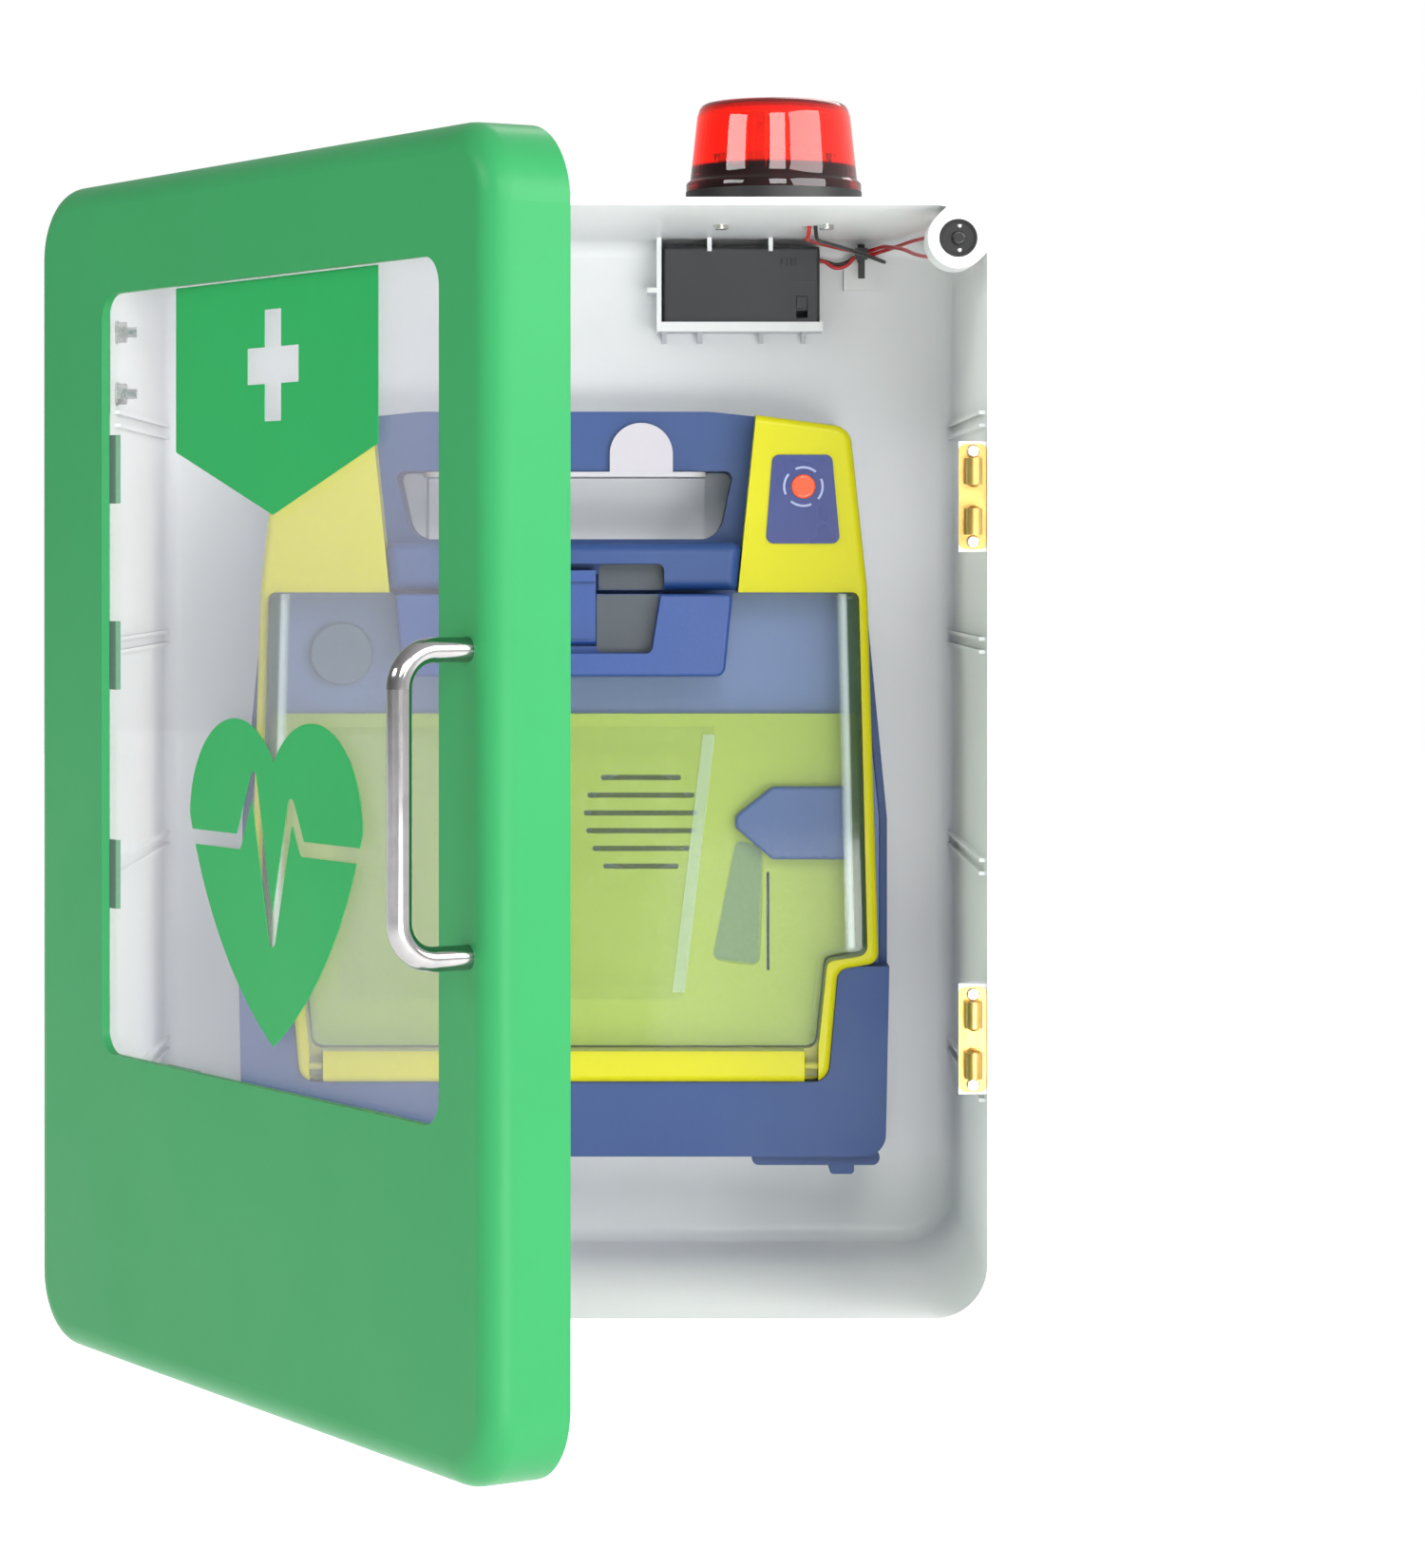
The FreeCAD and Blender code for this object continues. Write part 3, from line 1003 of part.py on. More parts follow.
def status_parts():
    plate = slab([(85.2, 119.7, 3), (109.5, 119.7, 3), (112.8, 83.5, 3), (82.4, 83.5, 3)],
                 ring_t, ring_t + status_t)
    save("aed_status_plate", plate.cut(urod(2.6, status_x, ring_t - 1, status_z, -AY, 5)))
    dome = urod(5, status_x, ring_t + status_t, status_z, -AY, 1.4)
    dome = soften(dome, 1.2, in_plane(AY, aed_rear - ring_t - status_t - 1.4))
    stem = urod(2.5, status_x, ring_t - 7, status_z, -AY, 8)
    save("aed_status_light", dome.fuse(stem))


def top_cover():
    """Blue bridge between the yellow blocks, with the upper half of the finger recess."""
    front = ring_t + 2
    cover = slab([(72.9, 84.0, 4), (70.9, 64.4, 2), (-70.9, 64.4, 2), (-72.9, 84.0, 4)],
                 base_t + snug, front)
    cover = soften(cover, 5, lambda e: in_plane(AY, aed_rear - front)(e) and e.BoundBox.ZMin > 83)
    recess = slab([(latch_recess_top, 75.3, 3), (latch_recess_top, 50, 0), (-latch_recess_top, 50, 0),
                   (-latch_recess_top, 75.3, 3)], ring_t - 8, 100)
    hook_space = ubox(-latch_half_w - 1, latch_half_w + 1, ring_t - 12, ring_t, 60, 71)
    save("aed_top_cover", cover.cut(recess).cut(hook_space))


def lid():
    cover = slab(lid_points(lid_gap), base_t + 8, lid_t)
    cover = soften(cover, 2.0, in_plane(AY, aed_rear - lid_t))
    hollow = slab(lid_points(lid_gap + lid_wall), base_t + 7, lid_t - lid_wall)
    swing = ubox(-200, 200, 0, ring_t + free, lid_bottom_z - 10, lid_bottom_z + 5.5)
    notch = slab([(69.7, 70.0), (65.9, latch_panel_z - free, 4), (-65.9, latch_panel_z - free, 4),
                  (-69.7, 70.0)], 0, 100)
    cover = cut(cover, [hollow, swing, notch])
    ears = []
    for side in (-1, 1):
        x0, x1 = side * lid_ear_x, side * (lid_ear_x + lid_ear_w)
        arm = ubox(x0, x1, lid_hinge_t, lid_t - 3, lid_hinge_z, lid_bottom_z + 3.5)
        barrel = urod(lid_barrel_r, x0, lid_hinge_t, lid_hinge_z, AX * side, lid_ear_w)
        ears.append(arm.fuse(barrel))
    cover = fuse([cover] + ears)
    bores = [urod(lid_pin_r + touch, side * 90, lid_hinge_t, lid_hinge_z, AX * side, 25)
             for side in (-1, 1)]
    save("aed_lid_cover", cut(cover, bores))
    save("aed_lid_pins", *[urod(lid_pin_r, side * (lid_pin_end - lid_pin_len), lid_hinge_t, lid_hinge_z,
                                AX * side, lid_pin_len) for side in (-1, 1)])


def latch_panel():
    """Blue panel in the lid's notch, with the lower half of the finger recess."""
    z0, z1, rear, front = latch_panel_z, lid_top_z - 0.2, ring_t - latch_panel_in, lid_t + 1
    panel = slab([(68.6, z1, 2), (65.5, z0, 4), (-65.5, z0, 4), (-68.6, z1, 2)], rear, front)
    panel = soften(panel, 1.5, lambda e: in_plane(AY, aed_rear - front)(e) and e.BoundBox.ZMin < 62)
    recess = slab([(latch_recess_top, 70), (latch_recess_bottom, latch_recess_z, 3),
                   (-latch_recess_bottom, latch_recess_z, 3), (-latch_recess_top, 70)], ring_t - 3, 100)
    slot = ubox(-latch_half_w - free, latch_half_w + free, rear - 1, 100, latch_axis_z - 2.6, 70)
    pin_bore = urod(1.0 + touch, -20, latch_axis_t, latch_axis_z, AX, 40)
    save("aed_lid_latch_panel", cut(panel, [recess, slot, pin_bore]))


def latch():
    """Finger lever in the recess: it pivots on two trunnions, its hook grips the top cover."""
    w = latch_half_w
    lever = ubox(-w, w, ring_t - 5.5, ring_t - 2, latch_axis_z + 0.5, latch_z1 - 2.5)
    grip = ubox(-w, w, ring_t - 3, ring_t + 0.5, latch_z1 - 7, latch_z1 - 2.5)
    barrel = urod(2.0, -w, latch_axis_t, latch_axis_z, AX, 2 * w)
    trunnions = urod(1.0, -w - 5, latch_axis_t, latch_axis_z, AX, 2 * w + 10)
    save("aed_lid_latch", fuse([lever, grip, barrel, trunnions]))


def control_panel():
    """Panel over the base's cavity, with the shock button in it."""
    panel = slab(base_points(shell + free), base_t - panel_t, base_t - snug).common(
        ubox(-200, 200, 0, 100, -200, 80 - free))
    tools = [urod(5 + touch, x, 0, z, -AY, 100) for x, z in lower_screws()]
    tools.append(urod(shock_r + touch, shock_x, 0, shock_z, -AY, 100))
    tools.append(urod(speaker_r - 4, speaker_x, 0, speaker_z, -AY, 100))
    save("aed_control_panel", cut(panel, tools))
    button = urod(shock_r, shock_x, base_t - panel_t - 2, shock_z, -AY, panel_t + 2 + shock_out)
    button = soften(button, 1.2, in_plane(AY, aed_rear - base_t - shock_out))
    collar = urod(shock_r + 2, shock_x, base_t - panel_t - 2.5, shock_z, -AY, 2.4)
    save("aed_shock_button", fuse([button, collar]))


def speaker_panel():
    """Green cover below the grey zone: sound slots, a pocket for the pads' lead and a slit."""
    cover = slab(lid_points(cover_gap), base_t, cover_t).common(ubox(-200, 200, 0, 100, -200, zone_z))
    cover = soften(cover, 3, lambda e: along(AY)(e) and e.BoundBox.ZMin > zone_z - 0.1)
    hollow = slab(lid_points(cover_gap + cover_wall), base_t - 1, cover_t - cover_skin).common(
        ubox(-200, 200, 0, 100, -200, zone_z - cover_wall))
    tools = [hollow, slab(lead_pocket, cover_t - lead_pocket_d, cover_t + 1),
             ubox(slit_x0, slit_x1, base_t, cover_t + 1, slit_z0, slit_z1)]
    for i, half in enumerate(slot_half_w):
        z = speaker_z + slot_pitch * (2.5 - i)
        z0, z1, end = z - slot_h / 2, z + slot_h / 2, slot_h / 2 - 0.1
        x0, x1 = speaker_x - half, speaker_x + half
        tools.append(slab([(x0, z0, end), (x1, z0, end), (x1, z1, end), (x0, z1, end)],
                          base_t, cover_t + 1))
    save("aed_speaker_panel", cut(cover, tools))


def speaker():
    centre = Vector(aed_x + speaker_x, aed_rear - base_t, speaker_z)
    flange = tube(speaker_r, speaker_r - 5, centre + AY * 6, -AY, 6 - panel_t - snug)
    cone = Part.makeCone(9, speaker_r - 4.5, 9, centre + AY * 14.5, -AY)
    magnet = rod(12, centre + AY * 23, -AY, 9)
    save("aed_speaker", fuse([flange, cone, magnet]))


def electronics():
    board_t = shell - 1 + standoff_h
    front = board_t + 1.6
    board = ubox(standoff_xs[0] - 6, standoff_xs[1] + 6, board_t, front,
                 standoff_zs[0] - 6, standoff_zs[1] + 6)
    chips = [ubox(-40, -22, front - 0.1, front + 2, -60, -42),
             ubox(52, 70, front - 0.1, front + 2, -30, -12),
             ubox(-30, -10, front - 0.1, front + 3, -25, -8)]
    board = fuse([board] + chips)
    save("aed_circuit_board", cut(board, [urod(1.5, x, 10, z, -AY, 20) for x, z in standoff_places()]))
    save("aed_capacitor", urod(capacitor_r, -5, shell + capacitor_r + free, 44, AX, capacitor_len))
    pack = ubox(pack_x0, pack_x1 - free, pack_t0, pack_t1, pack_z0, pack_z1)
    save("aed_battery_pack", soften(pack, 2, along(AX)))


def pads():
    """Soft pouch of the electrode pads, and their plug beside it."""
    rear, front = cover_t + free, cover_t + free + pouch_t
    pouch = slab([(62.0, 8.0, 4), (49.5, -104.0, 4), (-92.0, -104.0, 4), (-98.0, 8.0, 4)], rear, front)
    save("pads_pouch", soften(pouch, 2.0, in_plane(AY, aed_rear - front)))
    plug = slab([(70.2, -28.2, 3), (85.3, -16.2, 4), (plug_x1, -16.2, 2), (plug_x1, -46.0, 2),
                 (85.3, -46.0, 4), (70.2, -33.0, 3)], cover_t + snug, cover_t + plug_t)
    save("pads_plug", soften(plug, 1.5, in_plane(AY, aed_rear - cover_t - plug_t)))


housing()
hook_bracket()
cabinet_screws()
hinges()
catches()
door_switch()
door()
decals()
door_handle()
lamp_board_z = strobe()
battery_box()
leads(lamp_board_z)
base_shell()
front_shell()
status_parts()
top_cover()
lid()
latch_panel()
latch()
control_panel()
speaker_panel()
speaker()
electronics()
pads()
print("nodes:", len(os.listdir("parts")))
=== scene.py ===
import bmesh
import bpy
import json
import math
from mathutils import Matrix, Vector, noise


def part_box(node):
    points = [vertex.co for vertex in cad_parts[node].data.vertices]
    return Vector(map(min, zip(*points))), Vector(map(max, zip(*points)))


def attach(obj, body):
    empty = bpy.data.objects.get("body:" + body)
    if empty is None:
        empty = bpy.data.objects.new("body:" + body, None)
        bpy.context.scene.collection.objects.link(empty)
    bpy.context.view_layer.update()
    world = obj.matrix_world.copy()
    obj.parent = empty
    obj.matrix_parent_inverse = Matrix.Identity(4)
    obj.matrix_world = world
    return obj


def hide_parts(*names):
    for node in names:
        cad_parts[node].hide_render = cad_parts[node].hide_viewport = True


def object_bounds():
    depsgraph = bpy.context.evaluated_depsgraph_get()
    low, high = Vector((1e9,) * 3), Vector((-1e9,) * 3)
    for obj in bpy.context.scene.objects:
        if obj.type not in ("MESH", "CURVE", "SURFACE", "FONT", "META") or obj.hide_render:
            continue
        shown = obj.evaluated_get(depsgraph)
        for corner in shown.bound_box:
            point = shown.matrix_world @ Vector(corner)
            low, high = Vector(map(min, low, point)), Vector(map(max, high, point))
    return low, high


# Looks of a defibrillator in its wall cabinet: green door with a window, white housing,
# red beacon, and the blue and yellow unit on its hook. Metres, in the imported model's frame.

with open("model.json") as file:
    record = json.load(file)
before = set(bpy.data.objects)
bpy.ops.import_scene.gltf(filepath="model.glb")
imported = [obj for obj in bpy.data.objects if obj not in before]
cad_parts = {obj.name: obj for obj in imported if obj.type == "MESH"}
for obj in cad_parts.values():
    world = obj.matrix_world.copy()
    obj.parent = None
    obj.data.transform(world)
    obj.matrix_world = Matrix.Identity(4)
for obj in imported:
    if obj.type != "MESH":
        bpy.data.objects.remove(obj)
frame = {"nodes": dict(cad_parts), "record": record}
cad_low, cad_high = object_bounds()
NODES = frame["nodes"]
MM = 0.001


# ---- small helpers ---------------------------------------------------------------------
def middle(node):
    """Centre of a carried-over node's box."""
    low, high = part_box(node)
    return (low + high) / 2


def rounded(points, radius, steps=5):
    """Outline in a plane with each corner rounded: points are (a, b), the result is denser."""
    out, n = [], len(points)
    for i in range(n):
        here = Vector(points[i]).to_2d()
        before = (Vector(points[i - 1]).to_2d() - here).normalized()
        after = (Vector(points[(i + 1) % n]).to_2d() - here).normalized()
        half = before.angle(after) / 2
        reach = radius / math.tan(half)
        centre = here + (before + after).normalized() * (radius / math.sin(half))
        a, b = here + before * reach - centre, here + after * reach - centre
        turn = a.angle_signed(b)
        for k in range(steps + 1):
            out.append(centre + Matrix.Rotation(-turn * k / steps, 2) @ a)
    return out


def mesh_object(name, bm, smooth=True, angle=35.0):
    """A finished mesh as a piece: doubles merged, faces outwards, smooth except at sharp edges."""
    bmesh.ops.remove_doubles(bm, verts=bm.verts, dist=1e-7)
    bmesh.ops.recalc_face_normals(bm, faces=bm.faces)
    mesh = bpy.data.meshes.new(name)
    bm.to_mesh(mesh)
    bm.free()
    piece = bpy.data.objects.new(name, mesh)
    bpy.context.scene.collection.objects.link(piece)
    for polygon in mesh.polygons:
        polygon.use_smooth = smooth
    if smooth:
        mesh.set_sharp_from_angle(angle=math.radians(angle))
    return piece


def turned(name, profile, centre, segments, ripple=None):
    """Solid of revolution about Z from (radius, z, ripple share) points, listed round its section."""
    bm = bmesh.new()
    rings = []
    for r, z, share in profile:
        if r < 1e-9:
            rings.append([bm.verts.new(centre + Vector((0, 0, z)))])
            continue
        ring = []
        for k in range(segments):
            a = 2 * math.pi * k / segments
            rr = r + (ripple(a) * share if ripple else 0.0)
            ring.append(bm.verts.new(centre + Vector((rr * math.cos(a), rr * math.sin(a), z))))
        rings.append(ring)
    for lower, upper in zip(rings, rings[1:]):
        for k in range(segments):
            j = (k + 1) % segments
            quad = [lower[k % len(lower)], lower[j % len(lower)],
                    upper[j % len(upper)], upper[k % len(upper)]]
            corners = list(dict.fromkeys(quad))
            if len(corners) > 2:
                bm.faces.new(corners)
    return mesh_object(name, bm)


def plate(name, outline, y0, y1):
    """Flat plate in the XZ plane between y0 and y1."""
    bm = bmesh.new()
    face = bm.faces.new([bm.verts.new((p[0], y0, p[1])) for p in outline])
    made = bmesh.ops.extrude_face_region(bm, geom=[face])
    moved = [v for v in made["geom"] if isinstance(v, bmesh.types.BMVert)]
    bmesh.ops.translate(bm, verts=moved, vec=(0, y1 - y0, 0))
    return mesh_object(name, bm)


def finish_piece(piece, body, material, stands_for=()):
    """Give a piece its material and body, and hide the nodes that it stands for."""
    piece.data.materials.clear()
    piece.data.materials.append(material)
    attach(piece, body)
    if stands_for:
        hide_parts(*stands_for)


# ---- shader node groups ----------------------------------------------------------------
def new_group(name, inputs, outputs):
    """Empty shader group with named sockets, and its two end nodes."""
    group = bpy.data.node_groups.new(name, "ShaderNodeTree")
    for label, kind, value in inputs:
        socket = group.interface.new_socket(name=label, in_out="INPUT", socket_type=kind)
        if value is not None:
            socket.default_value = value
    for label, kind in outputs:
        group.interface.new_socket(name=label, in_out="OUTPUT", socket_type=kind)
    start = group.nodes.new("NodeGroupInput")
    end = group.nodes.new("NodeGroupOutput")
    return group, start, end


def join(tree, source, target):
    tree.links.new(source, target)


def plug(tree, value, socket):
    """Link a node's output to a socket, or set the socket to a plain value."""
    if isinstance(value, bpy.types.NodeSocket):
        join(tree, value, socket)
    else:
        socket.default_value = value


def math_node(tree, operation, first, second=0.5, clamp=False):
    node = tree.nodes.new("ShaderNodeMath")
    node.operation, node.use_clamp = operation, clamp
    for socket, value in zip(node.inputs, (first, second)):
        plug(tree, value, socket)
    return node.outputs[0]


def map_node(tree, value, low, high, to_low, to_high):
    node = tree.nodes.new("ShaderNodeMapRange")
    join(tree, value, node.inputs["Value"])
    for label, number in zip(("From Min", "From Max", "To Min", "To Max"), (low, high, to_low, to_high)):
        node.inputs[label].default_value = number
    return node.outputs[0]


def mix_node(tree, factor, first, second):
    """Blend of two colours, each a plain colour or a node's output."""
    node = tree.nodes.new("ShaderNodeMix")
    node.data_type = "RGBA"
    join(tree, factor, node.inputs["Factor"])
    plug(tree, first, node.inputs[6])
    plug(tree, second, node.inputs[7])
    return node.outputs[2]


def axis_node(tree, vector, axis):
    """One coordinate of a vector."""
    node = tree.nodes.new("ShaderNodeSeparateXYZ")
    join(tree, vector, node.inputs[0])
    return node.outputs[axis]


def noise_node(tree, vector, scale, detail=3.0, rough=0.55):
    node = tree.nodes.new("ShaderNodeTexNoise")
    join(tree, vector, node.inputs["Vector"])
    plug(tree, scale, node.inputs["Scale"])
    node.inputs["Detail"].default_value = detail
    node.inputs["Roughness"].default_value = rough
    return node.outputs["Fac"]


def bump_node(tree, depth, height, distance):
    node = tree.nodes.new("ShaderNodeBump")
    node.inputs["Distance"].default_value = distance
    join(tree, depth, node.inputs["Strength"])
    join(tree, height, node.inputs["Height"])
    return node.outputs["Normal"]


def moulded_grain():
    """Fine spark-eroded texture of a moulded part: a bump, and a slow drift in gloss."""
    group, start, end = new_group(
        "moulded_grain",
        [("Vector", "NodeSocketVector", None), ("Scale", "NodeSocketFloat", 900.0),
         ("Depth", "NodeSocketFloat", 0.2), ("Roughness", "NodeSocketFloat", 0.4),
         ("Drift", "NodeSocketFloat", 0.06)],
        [("Normal", "NodeSocketVector"), ("Roughness", "NodeSocketFloat")])
    fine = noise_node(group, start.outputs["Vector"], start.outputs["Scale"], 2.0)
    slow = noise_node(group, start.outputs["Vector"], 22.0, 3.0)
    bump = bump_node(group, start.outputs["Depth"], fine, 0.2 * MM)
    shift = math_node(group, "SUBTRACT", slow, 0.5)
    shift = math_node(group, "MULTIPLY", shift, start.outputs["Drift"])
    shift = math_node(group, "MULTIPLY", shift, 4.0)
    join(group, bump, end.inputs["Normal"])
    join(group, math_node(group, "ADD", shift, start.outputs["Roughness"], True), end.inputs["Roughness"])
    return group


def batch_tint():
    """Slow drift between two near shades, with a trace of dust on faces that look up."""
    group, start, end = new_group(
        "batch_tint",
        [("Vector", "NodeSocketVector", None), ("Shade", "NodeSocketColor", (0.5, 0.5, 0.5, 1)),
         ("Deep Shade", "NodeSocketColor", (0.4, 0.4, 0.4, 1)), ("Scale", "NodeSocketFloat", 9.0),
         ("Dust", "NodeSocketFloat", 0.05)],
        [("Color", "NodeSocketColor")])
    drift = map_node(group, noise_node(group, start.outputs["Vector"], start.outputs["Scale"], 4.0),
                     0.35, 0.65, 0.0, 1.0)
    shades = mix_node(group, drift, start.outputs["Shade"], start.outputs["Deep Shade"])
    geometry = group.nodes.new("ShaderNodeNewGeometry")
    upward = map_node(group, axis_node(group, geometry.outputs["Normal"], "Z"), 0.6, 1.0, 0.0, 1.0)
    specks = noise_node(group, start.outputs["Vector"], 260.0, 5.0, 0.7)
    specks = map_node(group, specks, 0.45, 0.75, 0.2, 1.0)
    amount = math_node(group, "MULTIPLY", math_node(group, "MULTIPLY", upward, specks), start.outputs["Dust"])
    dust_shade = (0.55, 0.53, 0.5, 1)
    join(group, mix_node(group, amount, shades, dust_shade), end.inputs["Color"])
    return group


def brushed_metal():
    """Metal with a fine noise in bump and gloss, drawn out into lines where Stretch is uneven."""
    group, start, end = new_group(
        "brushed_metal",
        [("Vector", "NodeSocketVector", None), ("Stretch", "NodeSocketVector", (1.0, 1.0, 1.0)),
         ("Depth", "NodeSocketFloat", 0.1), ("Roughness", "NodeSocketFloat", 0.2),
         ("Drift", "NodeSocketFloat", 0.1)],
        [("Normal", "NodeSocketVector"), ("Roughness", "NodeSocketFloat"), ("Mask", "NodeSocketFloat")])
    scaled = group.nodes.new("ShaderNodeVectorMath")
    scaled.operation = "MULTIPLY"
    join(group, start.outputs["Vector"], scaled.inputs[0])
    join(group, start.outputs["Stretch"], scaled.inputs[1])
    hair = noise_node(group, scaled.outputs[0], 1.0, 3.0, 0.6)
    bump = bump_node(group, start.outputs["Depth"], hair, 0.1 * MM)
    shift = math_node(group, "MULTIPLY", math_node(group, "SUBTRACT", hair, 0.5), start.outputs["Drift"])
    blotch = noise_node(group, start.outputs["Vector"], 120.0, 4.0)
    join(group, bump, end.inputs["Normal"])
    join(group, math_node(group, "ADD", shift, start.outputs["Roughness"], True), end.inputs["Roughness"])
    join(group, map_node(group, blotch, 0.4, 0.7, 0.0, 1.0), end.inputs["Mask"])
    return group


def fine_scratches():
    """Wipe marks: sparse thin streaks that change gloss only."""
    group, start, end = new_group(
        "fine_scratches",
        [("Vector", "NodeSocketVector", None), ("Roughness", "NodeSocketFloat", 0.05),
         ("Extra", "NodeSocketFloat", 0.15)],
        [("Roughness", "NodeSocketFloat")])
    total = None
    for turn, scale in ((0.4, (14, 14, 900)), (1.9, (900, 14, 20))):
        mapping = group.nodes.new("ShaderNodeMapping")
        mapping.inputs["Rotation"].default_value = (turn, turn * 0.7, turn * 1.3)
        mapping.inputs["Scale"].default_value = scale
        join(group, start.outputs["Vector"], mapping.inputs["Vector"])
        lines = map_node(group, noise_node(group, mapping.outputs[0], 1.0, 2.0), 0.62, 0.74, 0.0, 1.0)
        total = lines if total is None else math_node(group, "MAXIMUM", total, lines)
    patches = map_node(group, noise_node(group, start.outputs["Vector"], 18.0, 3.0), 0.4, 0.7, 0.0, 1.0)
    amount = math_node(group, "MULTIPLY", total, patches)
    amount = math_node(group, "MULTIPLY", amount, start.outputs["Extra"])
    join(group, math_node(group, "ADD", amount, start.outputs["Roughness"], True), end.inputs["Roughness"])
    return group


GRAIN, TINT, BRUSHED, SCRATCHES = moulded_grain(), batch_tint(), brushed_metal(), fine_scratches()


# ---- materials -------------------------------------------------------------------------
class Finish:
    """One material: a Principled shader fed by the shared groups."""

    def __init__(self, name, **sockets):
        self.material = bpy.data.materials.new(name)
        self.material.use_nodes = True
        self.tree = self.material.node_tree
        self.tree.nodes.clear()
        self.output = self.tree.nodes.new("ShaderNodeOutputMaterial")
        self.shader = self.tree.nodes.new("ShaderNodeBsdfPrincipled")
        join(self.tree, self.shader.outputs[0], self.output.inputs["Surface"])
        self.where = self.tree.nodes.new("ShaderNodeTexCoord").outputs["Object"]
        for label, value in sockets.items():
            self.shader.inputs[label.replace("_", " ")].default_value = value

    def group(self, group, **values):
        """A shared group in this material, with some of its inputs set."""
        node = self.tree.nodes.new("ShaderNodeGroup")
        node.node_tree = group
        join(self.tree, self.where, node.inputs["Vector"])
        for label, value in values.items():
            node.inputs[label.replace("_", " ")].default_value = value
        return node

    def feed(self, output, socket):
        join(self.tree, output, self.shader.inputs[socket])

    def texture(self, group, **values):
        """Normal and roughness from one of the shared groups."""
        node = self.group(group, **values)
        self.feed(node.outputs["Normal"], "Normal")
        self.feed(node.outputs["Roughness"], "Roughness")
        return node

    def tint(self, colour, deep, dust):
        """Drift between a colour and a deeper shade of it."""
        return self.group(TINT, Shade=rgba(colour), Deep_Shade=rgba(deep), Dust=dust).outputs["Color"]

    def scratches(self, rough, extra):
        marks = self.group(SCRATCHES, Roughness=rough, Extra=extra)
        self.feed(marks.outputs["Roughness"], "Roughness")

    def veil(self, facing_alpha, edge_alpha):
        """Opacity that grows from a square view to a grazing one."""
        weight = self.tree.nodes.new("ShaderNodeLayerWeight")
        weight.inputs["Blend"].default_value = 0.25
        return map_node(self.tree, weight.outputs["Facing"], 0.0, 1.0, facing_alpha, edge_alpha)


def rgba(colour):
    return (colour[0], colour[1], colour[2], 1.0)


def darker(colour, share):
    return tuple(c * share for c in colour)


def moulded(name, colour, rough=0.4, grain=900.0, depth=0.15, deep=0.93, dust=0.04, drift=0.05, **extra):
    """Moulded plastic or rubber: tint, dust, a fine grain and a drift in gloss."""
    finish = Finish(name, **extra)
    finish.feed(finish.tint(colour, darker(colour, deep), dust), "Base Color")
    finish.texture(GRAIN, Scale=grain, Depth=depth, Roughness=rough, Drift=drift)
    return finish.material


def metal(name, colour, tarnish, rough=0.2, stretch=(60, 60, 60), depth=0.06, drift=0.15):
    """Bare or plated metal with patches of a duller shade."""
    finish = Finish(name, Metallic=1.0)
    brushed = finish.texture(BRUSHED, Stretch=stretch, Depth=depth, Roughness=rough, Drift=drift)
    patches = mix_node(finish.tree, brushed.outputs["Mask"], rgba(colour), rgba(tarnish))
    finish.feed(patches, "Base Color")
    return finish.material


def sheet_clear(name, colour, rough, facing_alpha, edge_alpha):
    """Clear plastic: more is seen on it and less through it towards a grazing view."""
    finish = Finish(name)
    finish.feed(finish.tint(colour, darker(colour, 0.96), 0.0), "Base Color")
    finish.scratches(rough, 0.12)
    finish.feed(finish.veil(facing_alpha, edge_alpha), "Alpha")
    return finish.material


def beacon_red():
    """Clear red lens with a painted glow above its base that stands in for light the lens gathers, fading
    towards the crown; low down and at the crown its red is painted darker as shade.
    """
    low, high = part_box("strobe_lens")
    finish = Finish("lens_red", Transmission_Weight=1.0, IOR=1.49, Emission_Strength=0.20,
                    Specular_IOR_Level=0.35)
    tree = finish.tree
    # Painted light and shade: emission above the base stands in for gathered light, and the red is painted
    # dull below the board and at the crown.
    height = axis_node(tree, finish.where, "Z")
    above = map_node(tree, height, low.z + 10.0 * MM, low.z + 11.0 * MM, 0.0, 1.0)
    crown = map_node(tree, height, high.z - 6.0 * MM, high.z - 1.5 * MM, 1.0, 0.12)
    painted_glow = math_node(tree, "MULTIPLY", above, crown)
    for socket, dull, bright in (("Base Color", (0.34, 0.012, 0.012), (1.0, 0.040, 0.010)),
                                 ("Emission Color", (0.012, 0.0, 0.0), (1.0, 0.03, 0.0))):
        finish.feed(mix_node(tree, painted_glow, rgba(dull), rgba(bright)), socket)
    finish.scratches(0.02, 0.05)
    return finish.material


def cabinet_plastic():
    """Housing plastic with one grain all over: white inside, and painted shade on the faces that look
    outwards, a greyer copy of the same white.
    """
    low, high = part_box("cabinet_housing")
    mouth = Vector(((low.x + high.x) / 2, low.y, (low.z + high.z) / 2))
    finish = Finish("cabinet_white")
    tree = finish.tree
    away = tree.nodes.new("ShaderNodeVectorMath")
    away.operation = "SUBTRACT"
    join(tree, finish.where, away.inputs[0])
    away.inputs[1].default_value = mouth
    looks_out = tree.nodes.new("ShaderNodeVectorMath")
    looks_out.operation = "DOT_PRODUCT"
    join(tree, away.outputs[0], looks_out.inputs[0])
    geometry = tree.nodes.new("ShaderNodeNewGeometry")
    join(tree, geometry.outputs["Normal"], looks_out.inputs[1])
    # Painted shade: the faces that look outwards get a greyer copy of the same white plastic.
    outside = map_node(tree, looks_out.outputs["Value"], 0.02, 0.04, 0.0, 1.0)
    inner = finish.tint((0.875, 0.88, 0.89), (0.85, 0.855, 0.865), 0.06)
    outer = finish.tint((0.42, 0.42, 0.445), (0.40, 0.40, 0.425), 0.08)
    finish.feed(mix_node(tree, outside, inner, outer), "Base Color")
    finish.texture(GRAIN, Scale=1100.0, Depth=0.15, Roughness=0.38, Drift=0.05)
    return finish.material


